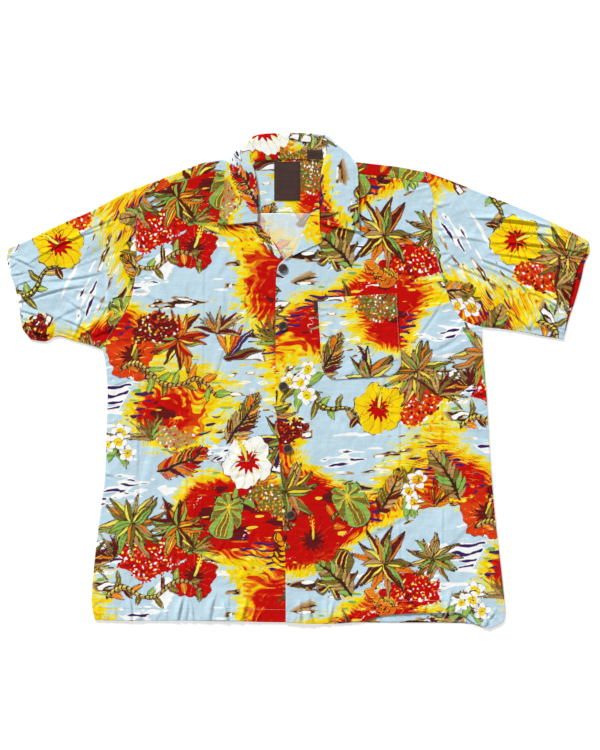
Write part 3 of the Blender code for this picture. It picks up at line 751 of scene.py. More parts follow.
class Blossoms(Motif):
    """A bed of small blossoms: one dab in each cell of a jittered lattice. Its last ink is the bed's."""
    CELL = 5.2
    FLAT = 0.6

    def rim(self, x: Array, y: Array) -> tuple[Array, Array]:
        """Distance from the middle and the bed's uneven rim in that direction.

        Args:
            x, y: points in the bed's own frame.

        Returns:
            Two values for each point.
        """
        t = np.arctan2(y / self.FLAT, x)
        rim = self.reach * (0.86 + 0.10 * np.sin(3 * t + self.seed) + 0.07 * np.sin(7 * t + 2 * self.seed))
        return np.hypot(x, y / self.FLAT), rim

    def draw(self, cloth: Cloth, at: Array, px: Array, py: Array, rng: np.random.Generator) -> None:
        """Draw the bed, then the dabs of the nine cells round each point."""
        *inks, bed = self.inks
        r, rim = self.rim(px, py)
        cloth.paint(bed, (r - rim) * self.FLAT + 2.0, at)
        best = np.full((len(inks), len(at)), FAR)
        for di in (-1, 0, 1):
            for dj in (-1, 0, 1):
                i, j = np.floor(px / self.CELL) + di, np.floor(py / self.CELL) + dj
                h = [np.mod(np.sin(i * a + j * b + self.seed * c) * 43758.5453, 1)
                     for a, b, c in ((127.1, 311.7, 17.3), (269.5, 183.3, 9.1), (113.5, 271.9, 5.7))]
                cx, cy = (i + 0.15 + 0.7 * h[0]) * self.CELL, (j + 0.15 + 0.7 * h[1]) * self.CELL
                dx, dy = px - cx, py - cy
                c, s = np.cos(h[2] * math.pi), np.sin(h[2] * math.pi)
                d = np.hypot(c * dx + s * dy, (c * dy - s * dx) * 1.7) - self.CELL * (0.32 + 0.22 * h[1])
                far, edge = self.rim(cx, cy)
                d = np.where(far < edge * 1.04, d, FAR)
                pick = np.floor(np.mod(h[0] * 7.3 + h[2] * 3.1, 1) * len(inks))
                for n in range(len(inks)):
                    best[n] = np.minimum(best[n], np.where(pick == n, d, FAR))
        for ink, d in zip(inks, best):
            cloth.paint(ink, d, at)


class Paradise(Motif):
    """A strelitzia head: pointed sepals fanned from a long bract."""

    def draw(self, cloth: Cloth, at: Array, px: Array, py: Array, rng: np.random.Generator) -> None:
        """Draw the bract, then the sepals."""
        found = leaf(px + self.reach * 0.4, py, self.reach * 1.3, self.reach * 0.24, -0.1, 0.6)
        self.one_leaf(cloth, at, found, Ink.OLIVE, None, 1.0)
        cloth.paint(Ink.MAROON, np.maximum(found[0] + 0.8, found[1] - 0.8), at)
        fans = ((1.75, Ink.ORANGE), (1.45, Ink.YELLOW), (1.15, Ink.ORANGE), (0.9, Ink.VERMILION),
                (0.62, Ink.PURPLE))
        for k, (turn, ink) in enumerate(fans):
            lx, ly = spin(px + self.reach * 0.15, py - 2, turn)
            found = leaf(lx, ly, self.reach * (0.8 + 0.06 * k), self.reach * 0.17, 0.10 - 0.05 * k, 0.9)
            self.one_leaf(cloth, at, found, ink, Ink.WHITE if ink is Ink.PURPLE else Ink.LEMON, 0.9)


class Grasses(Motif):
    """A tuft of thin blades fanned upwards and outwards."""

    def draw(self, cloth: Cloth, at: Array, px: Array, py: Array, rng: np.random.Generator) -> None:
        """Draw the blades in an uneven order."""
        blades = max(12, int(self.reach / 3.1))
        for k in rng.permutation(blades):
            share = k / (blades - 1) - 0.5
            angle = math.pi / 2 + 2.6 * share + rng.normal(0, 0.08)
            length = self.reach * rng.uniform(0.6, 1.0) * (1 - 0.25 * abs(share))
            bend = share * rng.uniform(0.3, 0.75)
            found = leaf(*spin(px, py, angle), length, rng.uniform(3.4, 5.4), bend, 0.62)
            light = Ink.LEMON if rng.uniform() < 0.5 else None
            self.one_leaf(cloth, at, found, self.inks[rng.integers(len(self.inks))], light, 0.55)


class Vine(Motif):
    """A wavy ringed stem with small leaves to either side. Its first ink is the stem's."""
    THICK = 8.0

    def draw(self, cloth: Cloth, at: Array, px: Array, py: Array, rng: np.random.Generator) -> None:
        """Draw the leaves, then the stem with its rings."""
        long = self.reach * 1.35
        x = px + long / 2
        turns, rise = 2 * math.pi / (long * 0.62), long * 0.07
        count = int(long / 11)
        for k in range(count):
            cx = long * (k + 0.5) / count
            side = 1 if k % 2 else -1
            lean = math.atan(rise * turns * math.cos(cx * turns)) + side * rng.uniform(0.6, 1.2)
            lx, ly = spin(x - cx, py - rise * math.sin(cx * turns), lean)
            found = leaf(lx, ly, rng.uniform(18, 30), rng.uniform(7, 10), side * 0.15)
            self.one_leaf(cloth, at, found, self.inks[rng.integers(1, len(self.inks))], Ink.LEMON, 0.8, 0.6)
        middle = py - rise * np.sin(x * turns)
        half = self.THICK * (0.5 - 0.25 * np.clip(x / long, 0, 1))
        d = np.maximum(np.abs(middle) * 0.93 - half, np.maximum(-x, x - long))
        cloth.paint(Ink.UMBER, d - 0.8, at)
        cloth.paint(self.inks[0], d, at)
        cloth.paint(Ink.LEMON, np.maximum(d + 1.0, 0.3 - middle), at)
        cloth.paint(Ink.UMBER, np.maximum((0.55 + comb(x / 6.5 - 0.10 * np.abs(middle))) * 1.8, d), at)


class Ginger(Motif):
    """Torch ginger: rows of pointed bracts round an egg-shaped head. Its last ink edges the bracts."""

    def draw(self, cloth: Cloth, at: Array, px: Array, py: Array, rng: np.random.Generator) -> None:
        """Draw the rows from the foot up."""
        *inks, edge = self.inks
        for row in range(6):
            for k in range(7 - row):
                share = (k + 0.5) / (7 - row) - 0.5
                lx, ly = spin(px - share * self.reach * 0.35, py - self.reach * (0.17 * row - 0.45),
                              math.pi / 2 + share * (2.7 - 0.33 * row))
                d = leaf(lx, ly, self.reach * (0.66 - 0.05 * row), self.reach * 0.26, -share * 0.5, 0.85)[0]
                near = d < 2.5
                cloth.paint(Ink.MAROON, d[near] - 1.0, at[near])
                cloth.paint(edge, d[near], at[near])
                cloth.paint(inks[(row + k) % len(inks)], d[near] + 1.2, at[near])


GREENS = (Ink.OLIVE, Ink.TAN, Ink.OLIVE, Ink.GREEN, Ink.TAN)
BROWNS = (Ink.OLIVE, Ink.MAROON, Ink.ORANGE, Ink.TAN, Ink.MAROON)
HOT = (Ink.ORANGE, Ink.VERMILION, Ink.MAROON, Ink.RED)
DARK = (Ink.PURPLE, Ink.MAROON, Ink.OLIVE, Ink.TAN)
SPICE = (Ink.RED, Ink.VERMILION, Ink.ORANGE, Ink.WHITE, Ink.LEMON, Ink.MAROON, Ink.RED)
SUN = (Ink.YELLOW, Ink.ORANGE, Ink.WHITE, Ink.LEMON, Ink.RED, Ink.GREEN)
STEM = (Ink.TAN, Ink.OLIVE, Ink.GREEN, Ink.MAROON, Ink.ORANGE)
RED_FLOWER = (Ink.RED, Ink.MAROON, Ink.ORANGE)
WHITE_FLOWER = (Ink.WHITE, Ink.RED, Ink.LEMON)
SMALL_FLOWER = (Ink.WHITE, Ink.YELLOW, Ink.MAROON)

# The repeat: figure, u, v, angle
LAYOUT: list[tuple[Motif, float, float, float]] = [
    (Blossoms(66, 1, SPICE + (Ink.RED,)), 92, 112, 0.1),
    (Grasses(62, 50, GREENS), 150, 118, -0.5),
    (Grasses(58, 51, BROWNS), 36, 112, 0.6),
    (Rosette(60, 31, GREENS), 62, 162, 0.3),
    (Rosette(52, 32, BROWNS), 134, 158, 1.1),
    (Hibiscus(38, 4, RED_FLOWER), 160, 80, 0.2),
    (Vine(111, 52, STEM), 96, 58, 0.12),
    (Vine(126, 53, STEM), 256, 230, 0.9),
    (Blossoms(52, 6, SUN + (Ink.OLIVE,)), 292, 205, 0),
    (Rosette(60, 33, DARK), 306, 296, 0.2),
    (Frond(92, 7, BROWNS), 210, 290, 0.8),
    (Hibiscus(42, 5, WHITE_FLOWER), 244, 262, 0.9),
    (Grasses(50, 54, GREENS), 330, 222, -0.3),
    (Monstera(34, 8, (Ink.GREEN, Ink.OLIVE)), 212, 178, 4.4),
    (Vine(104, 55, (Ink.OLIVE,) + STEM), 430, 84, -0.5),
    (Plumeria(38, 9, SMALL_FLOWER), 388, 118, 0),
    (Frond(104, 10, GREENS), 420, 146, 0.5),
    (Rosette(50, 35, BROWNS), 336, 66, 0.2),
    (Ginger(44, 56, (Ink.YELLOW, Ink.ORANGE, Ink.LEMON, Ink.MAROON)), 300, 118, 0.3),
    (Blossoms(40, 57, SPICE + (Ink.MAROON,)), 366, 40, 0.2),
    (Paradise(52, 11), 470, 232, 2.0),
    (Grasses(46, 58, DARK), 438, 208, 0.4),
    (Blossoms(60, 13, SPICE + (Ink.VERMILION,)), 566, 84, 0.2),
    (Hibiscus(42, 12, (Ink.YELLOW, Ink.RED, Ink.ORANGE)), 512, 76, 0.5),
    (Rosette(60, 36, GREENS), 572, 134, 0),
    (Grasses(56, 59, BROWNS), 606, 96, -0.5),
    (Blossoms(60, 60, SPICE + (Ink.RED,)), 560, 306, 0.2),
    (Rosette(62, 37, BROWNS), 520, 352, 0.6),
    (Rosette(48, 38, GREENS), 600, 360, 0.6),
    (Ginger(46, 61, (Ink.ORANGE, Ink.YELLOW, Ink.VERMILION, Ink.LEMON)), 520, 286, 1.0),
    (Monstera(38, 14, (Ink.OLIVE, Ink.MAROON)), 444, 330, 1.2),
    (Frond(80, 62, GREENS), 470, 300, 2.2),
    (Plumeria(36, 15, (Ink.WHITE, Ink.YELLOW, Ink.PURPLE)), 40, 292, 0.5),
    (Frond(88, 16, HOT), 100, 246, 0.2),
    (Grasses(48, 63, GREENS), 92, 296, 0.1),
    (Blossoms(36, 64, SUN + (Ink.TAN,)), 128, 300, -0.2),
    (Hibiscus(42, 17, (Ink.VERMILION, Ink.MAROON, Ink.LEMON)), 60, 428, 0.3),
    (Rosette(56, 39, HOT), 134, 456, 0.3),
    (Frond(92, 18, GREENS), 20, 450, 1.9),
    (Vine(119, 65, STEM), 122, 392, -0.25),
    (Blossoms(46, 66, SPICE + (Ink.MAROON,)), 96, 472, 0.3),
    (Paradise(52, 19), 226, 430, 0.3),
    (Grasses(50, 67, BROWNS), 196, 466, -0.2),
    (Blossoms(54, 20, (Ink.RED, Ink.ORANGE, Ink.WHITE, Ink.GREEN, Ink.YELLOW, Ink.OLIVE)), 330, 414, -0.1),
    (Rosette(60, 40, GREENS), 366, 464, 0.7),
    (Grasses(52, 68, GREENS), 290, 448, 0.3),
    (Vine(96, 69, (Ink.OLIVE,) + STEM), 420, 404, 0.5),
    (Hibiscus(42, 22, RED_FLOWER), 408, 388, 0.6),
    (Monstera(36, 21, (Ink.GREEN, Ink.OLIVE)), 468, 446, 5.2),
    (Plumeria(38, 23, SMALL_FLOWER), 560, 466, 0.4),
    (Frond(76, 70, BROWNS), 510, 430, 0.9),
    (Grasses(44, 71, HOT), 600, 440, 0.2),
]


@dataclass(frozen=True)
class Cut:
    """Where a piece was cut from the printed cloth: shift along the cloth and turn against its length."""
    u: float
    v: float
    turn: float = 0.0

    def place(self, plan: Array) -> Array:
        """Cloth coordinates of points given in the piece's own plan."""
        u, v = spin(plan[..., 0], plan[..., 1], math.radians(self.turn))
        return np.stack([u + self.u, v + self.v], axis=-1)


# ---------- Finishes ----------

def linear(colour: str) -> tuple[float, float, float, float]:
    """A colour's linear values from its six sRGB hex digits."""
    values = [int(colour[k:k + 2], 16) / 255 for k in (0, 2, 4)]
    return (*(c / 12.92 if c <= 0.04045 else ((c + 0.055) / 1.055) ** 2.4 for c in values), 1.0)


class Value:
    """A shader socket that takes part in Python arithmetic. Each operator adds its Math node."""

    def __init__(self, tree: "Finish", socket: bpy.types.NodeSocket) -> None:
        """Args: tree: the finish it belongs to. socket: the output it stands for."""
        self.tree = tree
        self.socket = socket

    def _math(self, operation: str, *values: "Value | float") -> "Value":
        """Result of a Math node."""
        return self.tree.node("ShaderNodeMath", {"operation": operation}, dict(enumerate(values)))

    def __add__(self, other: "Value | float") -> "Value":
        """Sum."""
        return self._math("ADD", self, other)

    __radd__ = __add__

    def __mul__(self, other: "Value | float") -> "Value":
        """Product."""
        return self._math("MULTIPLY", self, other)

    __rmul__ = __mul__

    def __sub__(self, other: "Value | float") -> "Value":
        """Difference."""
        return self._math("SUBTRACT", self, other)

    def __rsub__(self, other: float) -> "Value":
        """Difference from a number."""
        return self._math("SUBTRACT", other, self)

    def clamped(self) -> "Value":
        """The value held between 0 and 1."""
        return self._math("MINIMUM", self._math("MAXIMUM", self, 0.0), 1.0)

    def wave(self) -> "Value":
        """Its sine."""
        return self._math("SINE", self)

    def above(self, low: float, high: float) -> "Value":
        """Rise from 0 at low to 1 at high."""
        return ((self - low) * (1.0 / (high - low))).clamped()


class Finish:
    """A material on a Principled shader."""

    def __init__(self, name: str, roughness: float, **constants: float) -> None:
        """Args: name: of the material. roughness: its usual roughness. constants: other sockets' values."""
        self.material = bpy.data.materials.new(name)
        self.material.use_nodes = True
        self.nodes = self.material.node_tree.nodes
        self.links = self.material.node_tree.links
        self.shader = self.nodes["Principled BSDF"]
        self.shader.inputs["Roughness"].default_value = roughness
        for socket, value in constants.items():
            self.shader.inputs[socket.replace("_", " ")].default_value = value

    def node(self, kind: str, settings: dict | None = None, inputs: dict | None = None,
             output: int | str = 0) -> Value:
        """Add any node.

        Args:
            kind: the node's type.
            settings: its properties, which are set first.
            inputs: values or links of its sockets, by name or number.
            output: the output to return.

        Returns:
            That output.
        """
        made = self.nodes.new(kind)
        for key, value in (settings or {}).items():
            setattr(made, key, value)
        for key, value in (inputs or {}).items():
            self.feed(made.inputs[key], value)
        return Value(self, made.outputs[output])

    def feed(self, socket: bpy.types.NodeSocket, value: object) -> None:
        """Link a socket to a value, or set it.

        Args:
            socket: a node's input.
            value: another node's output, or a constant.
        """
        if isinstance(value, Value):
            self.links.new(value.socket, socket)
        else:
            socket.default_value = value

    def surface(self, socket: str, value: object) -> None:
        """Feed one of the shader's own sockets."""
        self.feed(self.shader.inputs[socket], value)

    def place(self) -> Value:
        """Place on the object, in metres."""
        return self.node("ShaderNodeTexCoord", output="Object")

    def split(self, vector: Value) -> tuple[Value, Value]:
        """The first two parts of a vector."""
        first = self.node("ShaderNodeSeparateXYZ", None, {0: vector}, "X")
        return first, Value(self, first.socket.node.outputs["Y"])

    def attribute(self, name: str, output: str = "Fac") -> Value:
        """A mesh attribute."""
        return self.node("ShaderNodeAttribute", {"attribute_name": name}, output=output)

    def scaled(self, vector: Value, factors: tuple[float, float, float]) -> Value:
        """A vector times factors."""
        return self.node("ShaderNodeVectorMath", {"operation": "MULTIPLY"}, {0: vector, 1: factors})

    def noise(self, vector: Value, scale: float, detail: float = 2.0, rough: float = 0.5) -> Value:
        """Noise of 0 to 1 round 0.5."""
        return self.node("ShaderNodeTexNoise", None,
                         {"Vector": vector, "Scale": scale, "Detail": detail, "Roughness": rough})

    def mixed(self, factor: Value | float, low: Value | tuple, high: Value | tuple,
              blend: str = "MIX") -> Value:
        """Two colours mixed."""
        return self.node("ShaderNodeMix", {"data_type": "RGBA", "blend_type": blend},
                         {0: factor, 6: low, 7: high}, 2)

    def bump(self, height: Value, strength: float, distance: float) -> None:
        """Feed the shader's normal with a height."""
        normal = self.node("ShaderNodeBump", None,
                           {"Strength": strength, "Distance": distance, "Height": height})
        self.surface("Normal", normal)


class PrintedCloth(Finish):
    """Rayon with the print, each ink's screen laid over those before it with dry edges, and a plain weave."""
    THREADS = (0.62, 0.7)  # spacing of the warp and of the weft, in mm
    # second colour of an ink where it was laid thicker, and how strongly it shows
    LOADED = {
        Ink.LEMON: ("F6F08C", 0.45), Ink.YELLOW: ("F4BC0C", 0.5), Ink.ORANGE: ("F6A830", 0.5),
        Ink.VERMILION: ("EA5E14", 0.4), Ink.RED: ("D81A0A", 0.45), Ink.MAROON: ("8C2218", 0.6),
        Ink.GREEN: ("C0CC6A", 0.6), Ink.OLIVE: ("A8893C", 0.6), Ink.TAN: ("DDBE88", 0.6),
        Ink.PURPLE: ("5C3466", 0.5), Ink.UMBER: ("6A4430", 0.6),
    }

    def __init__(self) -> None:
        """Lay the print, its pale wrong side, the sheen and the weave."""
        super().__init__("printed_rayon", 0.8, Specular_IOR_Level=0.06)
        cloth = self.attribute("cloth", "Vector")
        streaks = self.noise(self.scaled(cloth, (0.022, 0.24, 0.0)), 1.0, 3.0, 0.6)
        blotches = self.noise(self.scaled(cloth, (0.03, 0.05, 0.0)), 1.0, 2.0)
        colour = self.inked(cloth, streaks)
        shade = self.mixed(blotches.above(0.3, 0.7) * 0.10, colour, (0.8, 0.8, 0.78, 1.0), "MULTIPLY")
        pale = self.mixed(0.45, shade, linear("EFEDE4"))
        self.surface("Base Color", self.mixed(self.attribute("wrong_side"), shade, pale))
        self.surface("Roughness", 0.72 + streaks * 0.12)
        self.bump(self.woven(cloth), 0.6, 0.004)

    def inked(self, cloth: Value, streaks: Value) -> Value:
        """Colour of the ground with every ink over it.

        Args:
            cloth: place on the cloth.
            streaks: noise drawn out along the cloth.

        Returns:
            The colour.
        """
        dry = self.noise(cloth, 0.55, 3.0, 0.7)
        warmth = self.attribute("warmth") + (dry - 0.5) * 0.3
        colour = self.mixed(streaks.above(0.42, 0.75) * 0.7, linear(GROUND_COLOUR), linear("D2E6EF"))
        colour = self.mixed(warmth.above(-0.45, 0.05) * 0.5, colour, linear("E0EC9A"))
        blended = {
            Ink.LEMON: (warmth.above(0.3, 0.8) * 0.6, "F6C818"),
            Ink.YELLOW: (warmth.above(0.45, 1.05) * 0.8, "F0820E"),
            Ink.ORANGE: (warmth.above(0.75, 1.15) * 0.6, "DE4A10"),
            Ink.VERMILION: (warmth.above(0.75, 1.1) * 0.75, "CC1808"),
            Ink.RED: (warmth.above(0.5, 0.7) * (1 - warmth.above(0.9, 1.2)) * 0.7, "E0440E"),
        }
        for ink in Ink:
            screen = self.attribute(f"ink_{ink.name.lower()}")
            cover = (0.5 - (screen + (dry - 0.5) * 1.6) * 1.6).clamped()
            laid = linear(INK_COLOURS[ink])
            if ink in self.LOADED:
                second, share = self.LOADED[ink]
                laid = self.mixed(streaks.above(0.45, 0.70) * share, laid, linear(second))
            if ink in blended:
                share, second = blended[ink]
                laid = self.mixed(share, laid, linear(second))
            colour = self.mixed(cover, colour, laid)
        return colour

    def woven(self, cloth: Value) -> Value:
        """Height of the plain weave, its thicker threads and the cloth's fine crumple.

        Args:
            cloth: place on the cloth.

        Returns:
            The height.
        """
        warp, weft = self.split(cloth)
        across, up = (2 * math.pi / spacing for spacing in self.THREADS)
        weave = (warp * across).wave() * (weft * up).wave()
        slub = self.noise(self.scaled(cloth, (0.12, 1.4, 0.0)), 1.0, 2.0)
        crumple = self.noise(self.scaled(cloth, (0.06, 0.035, 0.0)), 1.0, 4.0, 0.55)
        return weave * 0.004 + slub * 0.02 + crumple * 1.0


class WovenLabel(Finish):
    """Dense dark brown satin tape with reddish threads."""

    def __init__(self) -> None:
        """Lay fine threads under broader reddish bands."""
        super().__init__("satin_tape", 0.55, Sheen_Weight=0.1, Specular_IOR_Level=0.4)
        place = self.place()
        threads = self.noise(self.scaled(place, (260.0, 3600.0, 1.0)), 1.0, 2.0)
        bands = self.noise(self.scaled(place, (20.0, 420.0, 1.0)), 1.0, 1.0)
        colour = self.mixed(threads.above(0.35, 0.7), linear("2B1A16"), linear("4A2C24"))
        self.surface("Base Color", self.mixed(bands.above(0.52, 0.66) * 0.5, colour, linear("5E3026")))
        self.surface("Roughness", 0.48 + threads * 0.2)
        self.bump(threads, 0.4, 0.0004)


class ButtonShell(Finish):
    """Dark brown polished shell, marbled and paler towards the rim."""

    def __init__(self) -> None:
        """Marble the shell and make it paler towards its rim."""
        super().__init__("dark_shell", 0.3, Coat_Weight=0.25, Coat_Roughness=0.2)
        marble = self.noise(self.place(), 260.0, 4.0, 0.6)
        colour = self.mixed(marble.above(0.4, 0.7), linear("2A211C"), linear("4B3A2E"))
        # the colour grows paler towards the rim, all the way round
        rim_paler = self.attribute("rim").above(0.2, 1.0) * 0.55
        self.surface("Base Color", self.mixed(rim_paler, colour, linear("8B7A66")))
        self.surface("Roughness", 0.24 + marble * 0.2)
        self.bump(marble, 0.08, 0.0005)


class SewingThread(Finish):
    """Spun thread: a twist of fine plies."""

    def __init__(self, name: str, colour: str) -> None:
        """Twist the plies.

        Args:
            name: the thread's name.
            colour: its colour, as six sRGB hex digits.
        """
        super().__init__(name, 0.7, Sheen_Weight=0.1)
        twist = self.noise(self.scaled(self.place(), (4200.0, 4200.0, 800.0)), 1.0, 1.0)
        r, g, b, a = linear(colour)
        self.surface("Base Color", self.mixed(twist, (r * 0.7, g * 0.7, b * 0.7, a), (r, g, b, a)))
        self.bump(twist, 0.3, 0.0002)


# ---------- Meshes ----------

@dataclass
class Mesh:
    """A mesh under construction: points in mm, faces and what is stored on them."""
    points: Array
    quads: Array = field(default_factory=lambda: np.zeros((0, 4), int))
    triangles: Array = field(default_factory=lambda: np.zeros((0, 3), int))
    quad_uv: Array | None = None
    triangle_uv: Array | None = None

    def build(self, name: str, finish: Finish, slot: str) -> bpy.types.Object:
        """Make the object, riding on the shirt's one body.

        Args:
            name: the piece's name.
            finish: its finish.
            slot: not used.

        Returns:
            The object.
        """
        mesh = bpy.data.meshes.new(name)
        mesh.vertices.add(len(self.points))
        mesh.vertices.foreach_set("co", (self.points * MM).astype(np.float32).ravel())
        corners = np.concatenate([self.quads.ravel(), self.triangles.ravel()])
        mesh.loops.add(len(corners))
        mesh.loops.foreach_set("vertex_index", corners.astype(np.int32))
        starts = np.concatenate([4 * np.arange(len(self.quads)),
                                 4 * len(self.quads) + 3 * np.arange(len(self.triangles))])
        mesh.polygons.add(len(starts))
        mesh.polygons.foreach_set("loop_start", starts.astype(np.int32))
        if self.quad_uv is not None:
            layer = mesh.uv_layers.new(name="OFBake")
            uv = np.concatenate([self.quad_uv.reshape(-1, 2), self.triangle_uv.reshape(-1, 2)])
            layer.uv.foreach_set("vector", uv.astype(np.float32).ravel())
        mesh.update(calc_edges=True)
        mesh.shade_smooth()
        mesh.materials.append(finish.material)
        piece = bpy.data.objects.new(name, mesh)
        bpy.context.scene.collection.objects.link(piece)
        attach(piece, "root")
        LOG.info("%s: %d faces", name, len(starts))
        return piece


def store(piece: bpy.types.Object, name: str, values: Array) -> None:
    """Keep a number or a vector for each point of a piece.

    Args:
        piece: the piece.
        name: the attribute's name.
        values: one row for each point.
    """
    kind, key = ("FLOAT", "value") if values.ndim == 1 else ("FLOAT_VECTOR", "vector")
    made = piece.data.attributes.new(name, kind, "POINT")
    made.data.foreach_set(key, values.astype(np.float32).ravel())


def zipper(fine: Array, coarse: Array) -> Array:
    """Triangles between two runs of points that start and end side by side.

    Args:
        fine: rising shares of the run that the rim starts from.
        coarse: rising shares of the run behind it.

    Returns:
        Numbers of the triangles' corners, those of the coarse run counted on from the fine one's.
    """
    n = len(fine)
    middle = (fine[1:] + fine[:-1]) / 2
    meets = np.searchsorted((coarse[1:] + coarse[:-1]) / 2, middle)
    k = np.arange(n - 1)
    fans = np.stack([k + 1, k, n + meets], axis=1)
    j = np.arange(len(coarse) - 1)
    turns = np.searchsorted(meets, j, side="right")
    return np.vstack([fans, np.stack([n + j, n + j + 1, turns], axis=1)])


def reversed_columns(values: Array | float | None, tube: bool) -> Array | float | None:
    """Reverse an array's columns, which in a tube start at the same one, and leave a number alone.

    Args:
        values: rows by columns, a number or nothing.
        tube: whether the columns close on themselves.

    Returns:
        The same, reversed.
    """
    if values is None or np.ndim(values) < 2:
        return values
    return np.roll(values[:, ::-1], 1, axis=1) if tube else values[:, ::-1]


@dataclass
class Skin:
    """One face of a sheet of cloth, on a grid."""
    middle: Array  # rows x columns x 3, points of the middle of the wall
    s: Array  # shares of the columns
    t: Array  # shares of the rows
    relief: Array | float = 0.0  # what creases and seams add outwards
    cloth: Array | None = None  # rows x columns x 2, places on the printed cloth
    wrong: Array | float = 0.0  # 1 where the cloth's wrong side shows

    def flipped(self, tube: bool = False) -> "Skin":
        """The same skin facing the other way, with its columns in reverse order.

        Args:
            tube: whether the columns close on themselves.

        Returns:
            The new skin.
        """
        s = 1 - self.s[::-1]
        if tube:
            s = np.roll(s, 1)
            s[0] = 0.0
        middle, relief, cloth, wrong = (
            reversed_columns(part, tube) for part in (self.middle, self.relief, self.cloth, self.wrong))
        return Skin(middle, s, self.t, relief, cloth, wrong)

    def rounding(self, tube: bool) -> Array:
        """Share of the half thickness reached at each point: less on the outermost rings of an open edge.

        Args:
            tube: whether the columns close on themselves.

        Returns:
            Rows by columns.
        """
        rows, columns = self.middle.shape[:2]
        ring = np.minimum(np.arange(rows), np.arange(rows)[::-1])[:, None] + np.zeros(columns, int)
        if not tube:
            ring = np.minimum(ring, np.minimum(np.arange(columns), np.arange(columns)[::-1])[None, :])
        return np.array(ROUNDING)[np.minimum(ring, len(ROUNDING) - 1)]


EDGE_RELIEF = 0.35  # share of the relief that is left on the very edge of a skin
# The bake map gives each skin half of the unit square
BAKE_LEFTS = (0.005, 0.51)
BAKE_FOOT = 0.005
BAKE_SIZE = (0.485, 0.99)


@dataclass
class Wall:
    """A closed sheet of cloth with a printed skin, a rolled edge and a plainer inner skin.

    The printed skin is the middle of the wall moved along its normal by half the thickness, which is rounded
    off to nothing on the outermost ring, plus the relief. The inner skin is the middle moved the other way,
    and the rim between them is a band of triangles.
    """
    name: str
    printed: Skin
    inner: Skin
    tube: bool = False
    thickness: float = WALL

    def skins(self) -> tuple[Array, Array]:
        """Points of both skins.

        Returns:
            Rows by columns by 3 for the printed skin, and the same for the inner one.
        """
        rounding = self.printed.rounding(self.tube)
        out = self.thickness / 2 * rounding + self.printed.relief * np.minimum(rounding + EDGE_RELIEF, 1)
        outer = self.printed.middle + normals(self.printed.middle, self.tube) * out[..., None]
        back = self.thickness / 2 + np.broadcast_to(self.inner.relief, self.inner.middle.shape[:2])
        inner = self.inner.middle - normals(self.inner.middle, self.tube) * back[..., None]
        return outer, inner

    def assemble(self) -> Mesh:
        """Faces of both skins and of the rim, with a bake map that gives each skin half of the square.

        Returns:
            The mesh.
        """
        outer, inner = self.skins()
        quads, quad_uv, rims = [], [], []
        start = 0
        halves = zip((outer, inner), (self.printed, self.inner), BAKE_LEFTS, (False, True))
        for grid, skin, left, flip in halves:
            rows, columns = grid.shape[:2]
            number = start + np.arange(rows * columns).reshape(rows, columns)
            s = skin.s
            if self.tube:
                number = np.hstack([number, number[:, :1]])
                s = np.append(s, 1.0)
            uv = np.stack(np.broadcast_arrays(left + BAKE_SIZE[0] * s[None, :],
                                              BAKE_FOOT + BAKE_SIZE[1] * skin.t[:, None]), -1)
            order = ((0, 0), (0, 1), (1, 1), (1, 0))
            if flip:
                order = order[::-1]
            pick = [(slice(a, number.shape[0] - 1 + a), slice(b, number.shape[1] - 1 + b)) for a, b in order]
            quads.append(np.stack([number[p] for p in pick], -1).reshape(-1, 4))
            quad_uv.append(np.stack([uv[p] for p in pick], -2).reshape(-1, 4, 2))
            rims.append((number, s, skin.t))
            start += rows * columns
        triangles, triangle_uv = self.rim(*rims)
        points = np.vstack([outer.reshape(-1, 3), inner.reshape(-1, 3)])
        return Mesh(points, np.vstack(quads), triangles, np.vstack(quad_uv), triangle_uv)

    def borders(self, number: Array, s: Array, t: Array) -> list[tuple[Array, Array, Array, Array]]:
        """A grid's edges, each run anticlockwise. A tube has only its two ends.

        Args:
            number: the grid's corner numbers.
            s, t: shares of its columns and rows.

        Returns:
            For each edge its corner numbers, their rising shares, and their shares across and upwards.
        """
        sides = [(number[0], s, s, 0 * s), (number[-1][::-1], 1 - s[::-1], s[::-1], 0 * s + 1)]
        if not self.tube:
            sides += [(number[:, -1], t, 0 * t + 1, t), (number[:, 0][::-1], 1 - t[::-1], 0 * t, t[::-1])]
        return sides

    def rim(self, outer: tuple[Array, Array, Array],
            inner: tuple[Array, Array, Array]) -> tuple[Array, Array]:
        """Triangles that join the two skins' edges.

        Args:
            outer, inner: corner numbers and shares of the columns and rows of each skin.

        Returns:
            The triangles and their places on the bake map.
        """
        triangles, uvs = [], []
        for fine, coarse in zip(self.borders(*outer), self.borders(*inner)):
            corners = zipper(fine[1], coarse[1])
            ids = np.concatenate([fine[0], coarse[0]])
            uv = np.stack([BAKE_LEFTS[1] + BAKE_SIZE[0] * np.concatenate([fine[2], coarse[2]]),
                           BAKE_FOOT + BAKE_SIZE[1] * np.concatenate([fine[3], coarse[3]])], axis=-1)
            triangles.append(ids[corners])
            uvs.append(uv[corners])
        return np.vstack(triangles), np.vstack(uvs)

    def build(self, finish: Finish, slot: str = "print_cloth") -> bpy.types.Object:
        """Make the piece, and print it if it is cut from the printed cloth.

        Args:
            finish: its finish.
            slot: handed on to the mesh, which does not use it.

        Returns:
            The piece.
        """
        piece = self.assemble().build(self.name, finish, slot)
        both = [self.printed, self.inner]
        if self.printed.cloth is None:
            return piece
        place = np.concatenate([skin.cloth.reshape(-1, 2) for skin in both])
        wrong = np.concatenate([np.broadcast_to(skin.wrong, skin.middle.shape[:2]).ravel() for skin in both])
        printed = Cloth(place[:, 0], place[:, 1])
        paint_ground(printed)
        for motif, u, v, angle in LAYOUT:
            motif.paint(printed, u, v, angle)
        for ink in Ink:
            store(piece, f"ink_{ink.name.lower()}", printed.screens[ink])
        store(piece, "warmth", printed.warmth)
        store(piece, "cloth", np.column_stack([place, np.zeros(len(place))]))
        store(piece, "wrong_side", wrong)
        return piece


